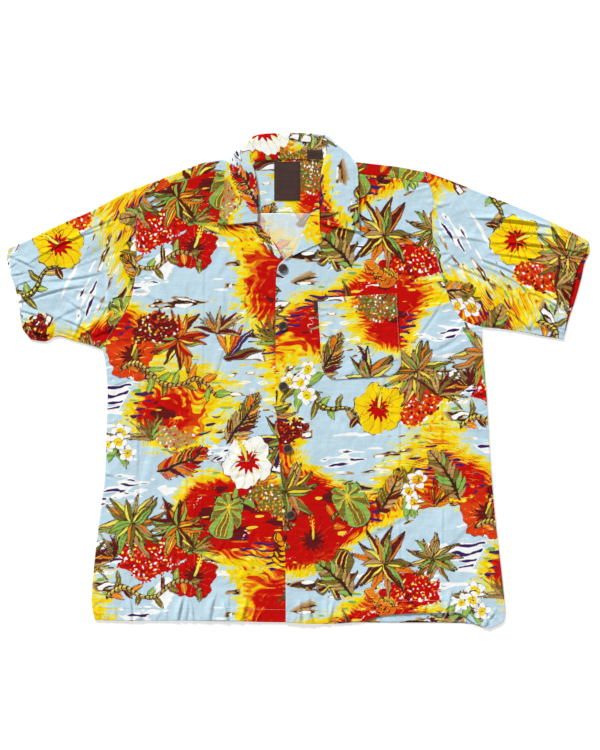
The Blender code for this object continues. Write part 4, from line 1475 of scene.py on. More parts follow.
def declare(piece: bpy.types.Object, middle: Array, tube: bool = False,
            cut: tuple[float, float] | None = None) -> None:
    """Log a piece's cut, measured along the rows and columns of its middle surface, and its area.

    Args:
        piece: the piece.
        middle: its middle surface in mm.
        tube: whether the columns close on themselves.
        cut: its width and length in mm where they are known, as on a piece whose rows follow a round edge.
    """
    grid = np.concatenate([middle, middle[:, :1]], axis=1) * MM if tube else middle * MM
    width = np.linalg.norm(np.diff(grid, axis=1), axis=-1).sum(axis=1).max()
    length = np.linalg.norm(np.diff(grid, axis=0), axis=-1).sum(axis=0).max()
    diagonals = np.cross(grid[1:, 1:] - grid[:-1, :-1], grid[1:, :-1] - grid[:-1, 1:])
    if cut:
        width, length = (size * MM for size in cut)
    area = float(np.linalg.norm(diagonals, axis=-1).sum() / 2)
    LOG.info("%s: cut %.0f by %.0f mm, %.4f square metres", piece.name, width / MM, length / MM, area)


# ---------- The shirt's pattern ----------

@dataclass(frozen=True)
class Half:
    """Outlines of one half of the shirt in plan, from the hem up and from the body outwards."""
    outward: int
    side: Points
    armhole: Points
    shoulder: Points
    edge: Points
    hem: Points
    upper: Points
    lower: Points
    cuff: Points
    under_cuff: Points

    def arm(self, top: float | None = None) -> Array:
        """Armhole from the armpit up to a height, or to the shoulder fold.

        Args:
            top: the height, or None for the shoulder fold.

        Returns:
            Points of the curve.
        """
        line = smooth(self.armhole)
        if top is None:
            return line
        return np.vstack([line[line[:, 1] < top], at_heights(line, np.array([top]))])

    def outer_edge(self, top: float) -> Array:
        """Side seam from the hem and then the armhole, up to a height."""
        return np.vstack([smooth(self.side), self.arm(top)[1:]])

    def shoulder_lines(self, shares: Array) -> tuple[Array, Array]:
        """Forward shoulder seam and the shoulder fold above it, from the armhole to the neck.

        Args:
            shares: shares of the shoulder, from the armhole.

        Returns:
            Two curves with one point for each share.
        """
        fold = smooth(self.shoulder, shares)
        corner = np.array(self.armhole[-1]) - (0, FORWARD_SEAM_DROP)
        reach = at_heights(self.arm(), corner[1:]) - corner
        return fold - (0, FORWARD_SEAM_DROP) + reach * np.clip(1 - 12 * shares, 0, 1)[:, None], fold


RIGHT_CUFF: Points = [(-459, 208), (-461, 192), (-455, 168), (-447, 143), (-441, 112), (-437, 84), (-424, 66)]
RIGHT = Half(
    outward=-1,
    side=[(-322, -379), (-327, -347), (-323, -290), (-313, -205), (-306, -150), (-303, -60), (-302, -15),
          (-306, 32), (-311, 51)],
    armhole=[(-311, 51), (-291, 85), (-272, 112), (-260, 150), (-256, 195), (-257, 230), (-254, 270),
             (-235, 311)],
    shoulder=[(-235, 311), (-199, 326), (-173, 336), (-146, 346), (-122, 349.5), (-104, 346), (-84, 345)],
    edge=[(10, -383), (4, -284), (0, -150), (-2, -31), (-2, 100), (-4, 150), (-13, 178), (-24, 194),
          (-40, 222), (-62, 247), (-74, 268), (-80, 300), (-84, 327)],
    hem=[(-322, -379), (-262, -380), (-123, -380), (-60, -382), (10, -383)],
    upper=[(-235, 311), (-275, 295), (-325, 268), (-376, 246), (-427, 221), (-459, 208)],
    lower=[(-311, 51), (-330, 57), (-351, 63), (-376, 71), (-389, 69), (-401, 63), (-424, 66)],
    cuff=RIGHT_CUFF,
    under_cuff=RIGHT_CUFF,
)
LEFT = Half(
    outward=1,
    side=[(325, -381), (327, -365), (325, -340), (319, -284), (311, -215), (303, -120), (298, -31), (292, 40),
          (289, 85)],
    armhole=[(289, 85), (260, 96), (241, 123), (226, 170), (214, 215), (211, 255), (213, 290), (199, 330)],
    shoulder=[(199, 330), (178, 334), (156, 338), (105, 344), (82, 346), (60, 346)],
    edge=[(-20, -383), (-21, -284), (-25, -221), (-30, -120), (-36, -31), (-36, 60), (-36, 143), (-33, 178),
          (-24, 190), (-6, 203), (4, 226), (12, 248), (24, 270), (36, 295), (44, 312), (45, 328)],
    hem=[(-20, -383), (50, -385), (97, -381), (129, -373.5), (150, -370.6), (186, -368), (221, -368),
         (253, -368), (278, -383.5), (299, -392), (311, -389), (325, -381)],
    upper=[(199, 330), (245, 313), (295, 293), (346, 273), (397, 251), (459, 219)],
    lower=[(289, 85), (333, 81), (384, 72), (419, 66)],
    cuff=[(459, 219), (455, 202), (443, 181), (436, 160), (430, 132), (425, 100), (419, 66)],
    under_cuff=[(459, 219), (460.5, 203), (453, 186), (447, 159), (438, 127), (428, 98), (419, 66)],
)
BACK_HEM: Points = [(-322, -379), (-200, -380), (-21, -382), (121, -383), (259, -384), (296, -391),
                    (325, -381)]
BACK_NECKLINE: Points = [(-84, 345), (-74, 348), (-50, 350), (-12, 352), (26, 350), (50, 348), (60, 346)]

Fold = tuple[float, float, float, float, float, float]  # x0, y0, x1, y1, half width, height
Box = tuple[float, float, float, float]  # x0, y0, x1, y1


def ridges(grid: Array, folds: list[Fold]) -> Array:
    """Height of the largest folds, each its height times exp(-(d/w)^2), with d the distance from its line.

    Args:
        grid: points in plan.
        folds: the folds.

    Returns:
        One height for each point.
    """
    rise = np.zeros(grid.shape[:-1])
    for x0, y0, x1, y1, half_width, height in folds:
        rise += height * np.exp(-(distance_to(grid, np.array([(x0, y0), (x1, y1)])) / half_width) ** 2)
    return rise


def soft_creases(box: Box, count: int, lean: float, seed: int) -> list[Crease]:
    """Low creases strewn over a box: their lengths, widths and heights uneven, their direction about lean.

    Args:
        box: where they start.
        count: how many.
        lean: in radians.
        seed: of their unevenness.

    Returns:
        The creases.
    """
    rng = np.random.default_rng(seed)
    made = []
    for _ in range(count):
        x, y = rng.uniform(box[0], box[2]), rng.uniform(box[1], box[3])
        angle, length = lean + rng.normal(0, 0.5), rng.uniform(35, 120)
        made.append(Crease(x, y, x + length * math.cos(angle), y + length * math.sin(angle),
                           rng.uniform(3.0, 8.0), rng.uniform(0.12, 0.42), rng.normal(0, 4)))
    return made


# ---------- Body ----------

@dataclass
class Front:
    """One front, from the hem to the forward shoulder seam."""
    name: str
    half: Half
    folds: list[Fold]
    creases: list[Crease]
    calm: list[Box]
    strewn: Box  # where soft creases lie
    cut: Cut
    seed: int
    width: float
    length: float = 745.0
    pitch: float = FINE

    def __post_init__(self) -> None:
        """Gather what the cloth's height is made of."""
        half, seed = self.half, self.seed
        hem, side = smooth(half.hem, 60), smooth(half.side, 50)
        arm = half.arm(half.armhole[-1][1] - FORWARD_SEAM_DROP)[::6]
        seam = half.shoulder_lines(np.linspace(0, 1, 30))[0]
        inward = math.pi if half.outward < 0 else 0.0  # the side of the outer seams that the body lies on
        self.relief = Relief(seed=seed, calm=self.calm, parts=[
            *self.creases,
            *soft_creases(self.strewn, 26, 1.1, seed + 9),
            Welt(hem, HEM_WIDTH, 0.30),
            Welt(arm, 8.0, 0.22, 0.12),
            Welt(seam, 7.0, 0.20, 0.12),
            Welt(smooth(half.edge, 60), 3.5, 0.18, 0.0),
            *puckers(hem, (12, 40), 15, 0.55, seed + 3),
            *puckers(side, (10, 38), 27, 0.30, seed + 4, inward),
            *puckers(arm, (8, 30), 23, 0.30, seed + 5, inward),
            *puckers(seam, (8, 24), 21, 0.22, seed + 6, inward),
        ])

    def lap(self, plan: Array) -> Array:
        """Lift of the left front over the hidden edge of the right one.

        Args:
            plan: points in plan.

        Returns:
            One lift for each point, nothing on the right front.
        """
        if self.half.outward < 0:
            return np.zeros(plan.shape[:-1])
        return LAP_RISE * (1 - ease(*LAP_EDGE_X, plan[..., 0])) * (1 - ease(*LAP_TOP_Y, plan[..., 1]))

    def middle(self, plan: Array) -> Array:
        """Height of the middle of the wall."""
        return FRONT_Z + self.lap(plan) + ridges(plan, self.folds)

    def top(self, plan: Array) -> Array:
        """Height of the printed side."""
        return self.middle(plan) + WALL / 2 + self.relief(plan)

    def plan(self, s: Array, t: Array) -> Array:
        """Plan grid: a patch between the hem, the outer and the inner edge and the forward shoulder seam.

        Args:
            s, t: shares across and upwards.

        Returns:
            Rows by columns by 2.
        """
        half = self.half
        line = half.outer_edge(half.armhole[-1][1] - FORWARD_SEAM_DROP)
        outer = sampled(line, t * along(line)[-1])
        rise = (outer[:, 1] - outer[0, 1]) / (outer[-1, 1] - outer[0, 1])
        edge = smooth(half.edge)
        inner = at_heights(edge, edge[0, 1] + rise * (edge[-1, 1] - edge[0, 1]))
        is_right = half.outward < 0
        seam = half.shoulder_lines(s if is_right else 1 - s)[0]
        neck = seam[-1] if is_right else seam[0]
        inner = inner + (neck - inner[-1]) * ease(0.95, 1.0, rise)[:, None]
        left, right = (outer, inner) if is_right else (inner, outer)
        grid = patch(smooth(half.hem, s), left, right, seam, s, t)
        grid[..., 1] -= SEAM_GAP * ease(0.98, 1.0, t)[:, None]
        return grid

    def build(self, finish: Finish, rests_on: list[str]) -> bpy.types.Object:
        """Make the panel.

        Args:
            finish: the printed cloth.
            rests_on: not used.

        Returns:
            The piece.
        """
        s, t = shares_for(self.width, self.pitch), shares_for(self.length, self.pitch)
        s_in, t_in = inner_shares(self.width, COARSE), inner_shares(self.length, COARSE)
        plan, within = self.plan(s, t), self.plan(s_in, t_in)
        printed = Skin(lifted(plan, self.middle(plan)), s, t, self.relief(plan), self.cut.place(plan))
        inner = Skin(lifted(within, self.middle(within)), s_in, t_in, 0.0, self.cut.place(within), 1.0)
        piece = Wall(self.name + "_cloth", printed, inner).build(finish)
        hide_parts(self.name)
        declare(piece, printed.middle)
        return piece


@dataclass
class Back:
    """Back panel, flat on the surface, up to the yoke seam. Its printed side lies underneath."""
    cut: Cut
    width: float = 647.0
    length: float = 650.0
    seed: int = 300

    def plan(self, s: Array, t: Array) -> Array:
        """Plan grid: a patch between the hem, the two outer edges and the yoke seam.

        Args:
            s, t: shares across and upwards.

        Returns:
            Rows by columns by 2.
        """
        lines = [half.outer_edge(YOKE_SEAM_Y) for half in (RIGHT, LEFT)]
        right, left = (sampled(line, t * along(line)[-1]) for line in lines)
        top = np.outer(1 - s, right[-1]) + np.outer(s, left[-1])
        grid = patch(smooth(BACK_HEM, s), right, left, top, s, t)
        grid[..., 1] -= SEAM_GAP * ease(0.98, 1.0, t)[:, None]
        return grid

    def build(self, finish: Finish) -> bpy.types.Object:
        """Make the panel, with a close inner grid where the neck opening and the hem show it.

        The cloth of the turned-up hem is mirrored about the hem's fold.

        Args:
            finish: the printed cloth.

        Returns:
            The piece.
        """
        s, t = shares_for(self.width, HIDDEN), shares_for(self.length, HIDDEN)
        s_in = inner_shares(self.width, COARSE, (0.36, 0.60, 1.7))
        t_in = inner_shares(self.length, COARSE, (0.84, 1.0, 1.7))
        t_in = np.union1d(t_in, np.linspace(0.004, 0.03, 9))
        plan, within = self.plan(s, t), self.plan(s_in, t_in)
        hem = smooth(BACK_HEM, 60)
        under = Relief(seed=self.seed, swell=0.1, parts=[
            Welt(hem, HEM_WIDTH, 0.2), *puckers(hem, (10, 34), 20, 0.3, self.seed + 3),
            *soft_creases((-280, -340, 280, 220), 34, 1.4, self.seed + 4)])
        inside = Relief(seed=self.seed + 5, swell=0.10)
        in_hem = distance_to(within, hem) < HEM_WIDTH
        fold = np.interp(within[..., 0], hem[:, 0], hem[:, 1])
        y = np.where(in_hem, 2 * fold - within[..., 1], within[..., 1])
        turned_up = np.stack([within[..., 0], y], -1)
        troughs = -np.minimum(np.abs(under(plan)), UNDERSIDE)
        printed = Skin(lifted(plan, BACK_Z), s, t, troughs, self.cut.place(plan))
        inner = Skin(lifted(within, BACK_Z), s_in, t_in, inside(within) * 0.5, self.cut.place(turned_up),
                     1.0 - in_hem)
        piece = Wall("back_cloth", printed.flipped(), inner.flipped()).build(finish)
        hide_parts("back")
        declare(piece, printed.middle)
        return piece


@dataclass
class Yoke:
    """Yoke, folded forward over both shoulders and cut away at the back of the neck.

    A shoulder column runs from the back seam up to the fold, round it in a half circle and down to the
    forward seam. A neck column runs straight up to the neckline. Between the two runs the columns are blends.
    """
    cut: Cut
    pitch: float = 2.0
    knots: tuple[float, ...] = (0.0, 0.56, 0.77, 0.80, 1.0)  # the foot, below the fold, round it, the end
    blends: int = 8
    shoulder: float = 150.0  # rough lengths, for the spacing
    neck: float = 110.0
    depth: float = 82.0
    seed: int = 400

    def columns(self) -> tuple[Array, Array, Array, Array]:
        """Feet on the back seam, points below the fold and on it, and how far each is a neck column.

        Returns:
            Three rows of points in plan, and a share for each column.
        """
        lip = np.array(LIPS) / self.shoulder
        arm = np.concatenate([[0], lip[:1], np.linspace(lip[1], 1, int(self.shoulder / self.pitch))])
        blend = np.linspace(0, 1, self.blends + 2)[1:-1]
        neck = np.linspace(1 / 8, 7 / 8, int(self.neck / self.pitch))
        right_seam, right_fold = RIGHT.shoulder_lines(arm)
        left_seam, left_fold = (line[::-1] for line in LEFT.shoulder_lines(arm))
        top = smooth(BACK_NECKLINE, neck)
        into = right_fold[-1] + np.outer(blend, top[0] - right_fold[-1])
        away = top[-1] + np.outer(blend, left_fold[0] - top[-1])
        fold = np.vstack([right_fold, into, top, away, left_fold])
        drop = np.array([0, FORWARD_SEAM_DROP])
        seam = np.vstack([right_seam, into - drop, top - drop, away - drop, left_seam])
        share = ((fold[:, 0] - fold[0, 0]) / (fold[-1, 0] - fold[0, 0]))[:, None]
        feet = RIGHT.arm(YOKE_SEAM_Y)[-1] * (1 - share) + LEFT.arm(YOKE_SEAM_Y)[-1] * share
        neckness = np.concatenate([0 * arm, blend, 0 * neck + 1, 1 - blend, 0 * arm])
        return feet, seam, fold, neckness

    def grid(self, w: Array) -> Array:
        """Middle surface at shares w of the way from the back seam.

        Args:
            w: rising shares.

        Returns:
            Rows by columns by 3.
        """
        feet, seam, fold, neckness = self.columns()
        bend = fold - (0, WALL / 2 + FOLD_RADIUS)
        weights = np.stack([np.interp(w, self.knots, unit) for unit in np.eye(len(self.knots))], axis=1)
        plan = np.einsum("rk,kcd->rcd", weights, np.stack([feet, seam, bend, bend, seam]))
        angle = math.pi * np.clip((w - self.knots[2]) / (self.knots[3] - self.knots[2]), 0, 1)[:, None]
        plan[..., 1] += FOLD_RADIUS * np.sin(angle)
        folded = lifted(plan, BACK_Z + FOLD_RADIUS * (1 - np.cos(angle)))
        straight = lifted(feet + w[:, None, None] * (fold - feet), BACK_Z)
        return folded + neckness[None, :, None] * (straight - folded)

    def build(self, finish: Finish) -> bpy.types.Object:
        """Make the yoke.

        Args:
            finish: the printed cloth.

        Returns:
            The piece.
        """
        lip = np.array(LIPS) / self.depth
        rows = np.concatenate([[0], lip[:1], np.linspace(lip[1], self.knots[2], 34),
                               np.linspace(self.knots[2], self.knots[3], 9)[1:-1],
                               np.linspace(self.knots[3], 1 - lip[1], 11), 1 - lip[:1], [1]])
        middle = self.grid(rows)
        s = np.linspace(0, 1, middle.shape[1])
        unrolled = np.linalg.norm(np.diff(middle, axis=0), axis=-1).cumsum(axis=0)
        v = YOKE_SEAM_Y + np.vstack([0 * unrolled[:1], unrolled])
        cloth = self.cut.place(np.stack([middle[..., 0], v], axis=-1))
        noise = Relief(seed=self.seed, swell=0.10)(np.stack([middle[..., 0], v], axis=-1))
        above = middle[..., 2] > FRONT_Z - 0.1
        relief = np.where(above, noise, -np.abs(noise) * (middle[..., 2] < BACK_Z + 0.1))
        printed = Skin(middle, s, rows, relief, cloth)
        # the inner skin stops just inside the rolled edges
        keep = slice(2, -2)
        inner = Skin(middle[keep, keep], s[keep], rows[keep], 0.0, cloth[keep, keep])
        piece = Wall("yoke_cloth", printed.flipped(), inner.flipped()).build(finish)
        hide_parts("yoke")
        declare(piece, middle)
        return piece


# ---------- Sleeves ----------

@dataclass
class Sleeve:
    """A short set-in sleeve: a tube pressed flat, its columns running round it from the underarm.

    Its printed skin is kept once it is built, for what is sewn on it.
    """
    name: str
    half: Half
    folds: list[Fold]
    creases: list[Crease]
    cut: Cut
    seed: int
    length: float = 245.0
    armhole: float = 275.0
    puff: float = 0.5  # air in the middle
    turn_steps: int = 7
    turn_share: float = 0.005  # share of the way round that a folded edge takes
    inner_pitch: float = 4.0
    under_pitch: float = 2.2
    strewn: Box = (265.0, 80.0, 425.0, 260.0)  # where soft creases lie, on a left sleeve
    surface: Array | None = field(default=None, init=False)

    def layer(self, out: Array, up: Array, cuff: Points) -> Array:
        """Plan of one layer: rows from the armhole to the cuff, columns from the underarm up.

        Args:
            out: shares from the armhole to the cuff.
            up: shares from the underarm up.
            cuff: the layer's edge at the cuff.

        Returns:
            Rows by columns by 2.
        """
        half = self.half
        gap = np.array([half.outward * SEAM_GAP, 0.0])
        arm, hem = half.arm(), smooth(cuff)[::-1]
        seam = sampled(arm, up * along(arm)[-1]) + gap
        edge = sampled(hem, up * along(hem)[-1])
        fading = gap * (1 - out)[:, None]
        return patch(smooth(half.lower, out) + fading, seam, edge, smooth(half.upper, out) + fading,
                     out, up).transpose(1, 0, 2)

    def turned(self, top: Array, edge: int, neighbour: int, order: int) -> Array:
        """Points round a folded edge, a half circle that goes down for order 1 and up for order -1.

        Args:
            top: plan of the upper layer.
            edge: number of its column on the folded edge.
            neighbour: number of the column beside that.
            order: 1 or -1.

        Returns:
            Rows by steps by 3.
        """
        out = top[:, edge] - top[:, neighbour]
        out = out / np.linalg.norm(out, axis=1)[:, None]
        angles = np.linspace(0, math.pi, self.turn_steps + 2)[1:-1]
        plan = top[:, None, edge] + out[:, None] * FOLD_RADIUS * np.sin(angles)[:, None]
        return lifted(plan, BACK_Z + FOLD_RADIUS * (1 + order * np.cos(angles)))

    def skin(self, out: Array, up: Array, below_up: Array, relief: bool, wrong: Array | float) -> Skin:
        """One skin of the tube.

        Args:
            out: shares from the armhole to the cuff.
            up: shares from the underarm to the upper edge, in the top layer.
            below_up: the same in the layer beneath.
            relief: whether it carries the creases.
            wrong: where the wrong side shows, for each row.

        Returns:
            The skin, with shares that run round the tube.
        """
        half = self.half
        top, below = self.layer(out, up, half.cuff), self.layer(out, below_up, half.under_cuff)[:, ::-1]
        edge_share = np.minimum(up, 1 - up)[None, :]
        air = self.puff * np.sin(math.pi * out)[:, None] * ease(0.0, 0.3, edge_share)
        z = FRONT_Z + air + ridges(top, self.folds) * ease(0.0, 0.12, edge_share)
        over, under = self.turned(top, -1, -2, 1), self.turned(top, 0, 1, -1)
        middle = np.concatenate([lifted(top, z), over, lifted(below, BACK_Z), under], axis=1)
        k = np.arange(1, self.turn_steps + 1) / (self.turn_steps + 1)
        flat = 0.5 - self.turn_share
        s = np.concatenate([flat * up, flat + self.turn_share * k, 0.5 + flat * (1 - below_up[::-1]),
                            1 - self.turn_share + self.turn_share * k])
        chord = np.subtract(half.upper[-1], half.upper[0])
        normal = np.array([-chord[1], chord[0]]) * half.outward / math.hypot(*chord)
        fold = top[:, -1:]
        mirrored = below + 2 * ((fold - below) @ normal)[..., None] * normal
        arc = (math.pi * FOLD_RADIUS * k)[:, None] * normal
        cloth = np.concatenate([top, fold + arc, mirrored, mirrored[:, -1:] + arc], axis=1)
        height: Array | float = 0.0
        if relief:
            hem, arm = smooth(half.cuff, 40), half.arm()[::8]
            side = math.pi if half.outward < 0 else 0.0
            x0, y0, x1, y1 = self.strewn
            box = (x0, y0, x1, y1) if half.outward > 0 else (-x1, y0, -x0, y1)
            bumps = Relief(seed=self.seed, swell=0.35, parts=[
                *self.creases,
                *soft_creases(box, 16, -0.42 * half.outward, self.seed + 9),
                Welt(hem, CUFF_HEM_WIDTH, 0.28),
                Welt(arm, 3.0, 0.10, 0.1),
                *puckers(hem, (9, 30), 17, 0.34, self.seed + 3, math.pi - side),
                *puckers(arm, (10, 34), 19, 0.34, self.seed + 4, math.pi - side),
                *puckers(smooth(half.lower, 30), (10, 30), 22, 0.3, self.seed + 5, side),
            ])
            lower = Relief(seed=self.seed + 7, swell=0.1, parts=[
                Welt(smooth(half.under_cuff, 40), CUFF_HEM_WIDTH, 0.2),
                *puckers(arm, (10, 40), 24, 0.3, self.seed + 8, math.pi - side)])
            fade = ease(0.0, 0.06, edge_share)
            still = np.zeros(over.shape[:2])
            troughs = -np.minimum(np.abs(lower(below)), UNDERSIDE)
            height = np.concatenate([bumps(top) * fade, still, troughs, still], axis=1)
        side_shown = np.broadcast_to(np.reshape(wrong, (-1, 1)), middle.shape[:2])
        return Skin(middle, s, out, height, self.cut.place(cloth), side_shown)

    def build(self, finish: Finish) -> bpy.types.Object:
        """Make the sleeve, with a closer inner grid in the hem that shows inside the cuff.

        Args:
            finish: the printed cloth.

        Returns:
            The piece.
        """
        out = shares_for(self.length, FINE)
        up = np.linspace(0, 1, int(self.armhole / FINE))
        below = np.linspace(0, 1, int(self.armhole / HIDDEN))
        out_in = inner_shares(self.length, COARSE, (0.88, 1.0, 1.8))
        up_in = np.linspace(0, 1, int(self.armhole / self.inner_pitch))
        below_in = np.linspace(0, 1, int(self.armhole / self.under_pitch))
        wrong = np.where((1 - out_in) * self.length < CUFF_HEM_WIDTH, 0.0, 1.0)
        printed = self.skin(out, up, below, True, 0.0)
        inner = self.skin(out_in, up_in, below_in, False, wrong)
        if self.half.outward > 0:
            printed, inner = printed.flipped(True), inner.flipped(True)
        wall = Wall(self.name + "_cloth", printed, inner, tube=True)
        self.surface = wall.skins()[0]
        piece = wall.build(finish)
        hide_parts(self.name)
        declare(piece, printed.middle, tube=True)
        return piece

    def cuff_seam(self) -> Array:
        """The hem's line of stitching across the upper layer.

        Returns:
            Points of the line, from the underarm up.
        """
        place = (1 - CUFF_HEM_WIDTH / self.length) * (len(self.surface) - 1)
        row = self.surface[round(place)]
        row = row[row[:, 2] > FRONT_Z + WALL / 2 - 0.3]
        return row[np.argsort(row[:, 1])][3:-3]


# ---------- Collar and lapels ----------

class Form(Enum):
    """Cross-sections of the collar, with the heights of their guide lines.

    The lines are the seam, before and after the crest, the fall, before and after the rim, and the edge.
    """
    WING = (STAND_Z, STAND_Z, STAND_Z, FALL_Z, FALL_Z, FALL_Z, FALL_Z, FALL_Z, FALL_Z, FALL_Z, FALL_Z)
    RIDGE = (BAND_Z, 3.2, 4.0, 4.2, 4.2, 4.0, 3.6, 3.2, BACK_Z, BACK_Z, BACK_Z)
    TOP = (BAND_Z, 3.0, 3.2, 3.2, 3.1, 3.0, 2.8, 2.6, BACK_Z, BACK_Z, BACK_Z)


def b_spline_weights(guides: int, places: Array) -> Array:
    """Weights of a clamped quadratic B-spline: boxes between knots, blended twice with their neighbours.

    Args:
        guides: number of guide points.
        places: parameters from 0 to 1.

    Returns:
        One row of weights for each place.
    """
    knots = np.concatenate([[0, 0], np.linspace(0, 1, guides - 1), [1, 1]])
    t = places.clip(0, 1 - 1e-9)[:, None]
    weights = ((knots[:-1] <= t) & (t < knots[1:])).astype(float)
    for degree in (1, 2):
        near, far = knots[:-degree - 1], knots[degree:-1]
        rising = np.divide(t - near, far - near, out=np.zeros((len(t), len(near))), where=far > near)
        near, far = knots[1:-degree], knots[degree + 1:]
        falling = np.divide(far - t, far - near, out=np.zeros((len(t), len(near))), where=far > near)
        weights = rising * weights[:, :-1] + falling * weights[:, 1:]
    return weights


def toward(start: Array, end: Array, distance: float, most: float = 0.45) -> Array:
    """The point a short distance from start towards end, and at most a share of the way."""
    step = end - start
    return start + step * min(distance / np.linalg.norm(step), most)


def trace(grid: Array, rows: Array, columns: Array) -> Array:
    """Points of a grid at fractional rows and columns, blended from the four around.

    Args:
        grid: rows by columns by 3.
        rows, columns: where to read it.

    Returns:
        One point for each place.
    """
    i, j = np.clip(rows.astype(int), 0, grid.shape[0] - 2), np.clip(columns.astype(int), 0, grid.shape[1] - 2)
    a, b = (rows - i)[:, None], (columns - j)[:, None]
    return ((1 - a) * ((1 - b) * grid[i, j] + b * grid[i, j + 1])
            + a * ((1 - b) * grid[i + 1, j] + b * grid[i + 1, j + 1]))


@dataclass
class Collar:
    """One-piece camp collar: two wings, a band behind the neck, and the fall turned under there.

    Each row is a cross-section: where it is sewn on, its fold line, and the outer edge of the wing or, behind
    the shoulder, the line where the fall turns under. The surface is a quadratic B-spline both ways.
    """
    cut: Cut
    rows: list[tuple] = field(default_factory=lambda: [
        # form      seam_x seam_y crest_x crest_y rim_x rim_y
        (Form.WING, -75, 250, -65, 251, -128.5, 243.8),
        (Form.WING, -74, 272, -63.5, 271, -124, 268.5),
        (Form.WING, -74, 298, -64, 298, -118, 292),
        (Form.WING, -79, 328, -69, 330, -117.5, 322),
        (Form.WING, -84, 342, -75, 345, -115, 345),
        (Form.RIDGE, -70, 346, -78, 356, -104, 358),
        (Form.RIDGE, -61, 347.5, -76, 368, -91, 368),
        (Form.RIDGE, -52, 348.5, -73, 377, -80, 381),
        (Form.TOP, -42, 349, -66, 381, -70, 387),
        (Form.TOP, -32, 349.5, -54, 384, -56, 390),
        (Form.TOP, -22, 350, -33, 385, -34, 391),
        (Form.TOP, -12, 350, -12, 385, -12, 391.2),
        (Form.TOP, -2, 350, 9, 385, 10, 391),
        (Form.TOP, 8, 349.5, 30, 384, 32, 390),
        (Form.TOP, 18, 349, 42, 381, 46, 387),
        (Form.RIDGE, 28, 348.5, 46, 376, 56, 379),
        (Form.RIDGE, 33, 348, 44, 366, 68, 367),
        (Form.RIDGE, 35, 347, 42, 356, 81, 358),
        (Form.WING, 50, 342, 40, 345, 92, 346),
        (Form.WING, 45, 326, 35, 326, 95, 324),
        (Form.WING, 45, 298, 35, 298, 95.5, 290),
        (Form.WING, 45.5, 271, 35.3, 271, 96, 262),
        (Form.WING, 46.5, 248, 36, 248, 96.7, 235),
    ])
    neck_x: float = -12.0
    fall_edge_y: float = 355.2
    fall_taper: float = 0.96
    tip_lift: float = 1.8
    lifted_rows: int = 3
    fold_hold: float = 2.4
    wing_shares: tuple[float, ...] = (0.35, 0.6, 0.8, 0.9, 0.96)
    crest_lines: int = 5
    pitch: float = 1.75
    turn_weight: float = 2.6  # mm of extra sampling for each radian that the cloth turns
    stitch_margin: float = 6.0
    seed: int = 500

    def section(self, form: Form, places: tuple[float, ...], lift: float) -> Array:
        """Guide points of one cross-section, from the seam over the crest to the fall's edge.

        Args:
            form: its form.
            places: x and y of the seam, the crest and the rim.
            lift: height added at the outer edge.

        Returns:
            x, y and z of each guide point.
        """
        seam, crest, rim = np.reshape(places, (3, 2)).astype(float)
        hold = self.fold_hold
        if form is Form.WING:
            plan = [seam, toward(crest, seam, hold), crest, crest, toward(crest, rim, hold)]
            plan += [crest + (rim - crest) * share for share in self.wing_shares] + [rim]
        else:
            edge = np.array([self.neck_x + (rim[0] - self.neck_x) * self.fall_taper, self.fall_edge_y])
            before = toward(rim, crest, hold)
            plan = [seam, (seam + crest) / 2, toward(crest, seam, hold), crest, (crest * 2 + before) / 3,
                    (crest + before * 2) / 3, before, rim, rim, toward(rim, edge, hold), edge]
        outward = np.linspace(0, 1, len(plan) - self.crest_lines) ** 1.5
        return np.column_stack([plan, np.array(form.value)
                                + lift * np.concatenate([np.zeros(self.crest_lines), outward])])

    def net(self) -> Array:
        """Guide points of all cross-sections, the tips of the wings a little lifted.

        Returns:
            Cross-sections by guide lines by 3.
        """
        last = len(self.rows) - 1
        lifts = [self.tip_lift * (1 - ease(0, self.lifted_rows, min(k, last - k))) for k in range(last + 1)]
        return np.array([self.section(form, tuple(places), lift)
                         for (form, *places), lift in zip(self.rows, lifts)])

    def surface(self, net: Array, round_neck: Array, across: Array) -> Array:
        """Points of the middle surface at two sets of B-spline parameters."""
        return np.einsum("rn,sg,ngc->rsc", b_spline_weights(net.shape[0], round_neck),
                         b_spline_weights(net.shape[1], across), net)

    def places(self, body: Array, axis: int) -> tuple[Array, Array]:
        """Parameters at even steps along one axis, counting the length and how much the cloth turns.

        Args:
            body: a close grid of the surface.
            axis: 0 along the neck, 1 across it.

        Returns:
            The parameters, and their shares of the measure.
        """
        step = np.diff(body, axis=axis)
        size = np.linalg.norm(step, axis=-1)
        unit = step / np.maximum(size, 1e-9)[..., None]
        cosine = (np.delete(unit, 0, axis) * np.delete(unit, -1, axis)).sum(axis=-1)
        turn = np.arccos(np.clip(cosine, -1, 1)).mean(axis=1 - axis) * self.turn_weight
        measure = np.concatenate([[0], np.cumsum(size.mean(axis=1 - axis) + np.append(turn, 0))])
        shares = shares_for(measure[-1], self.pitch)
        return np.interp(shares * measure[-1], measure, np.linspace(0, 1, len(measure))), shares

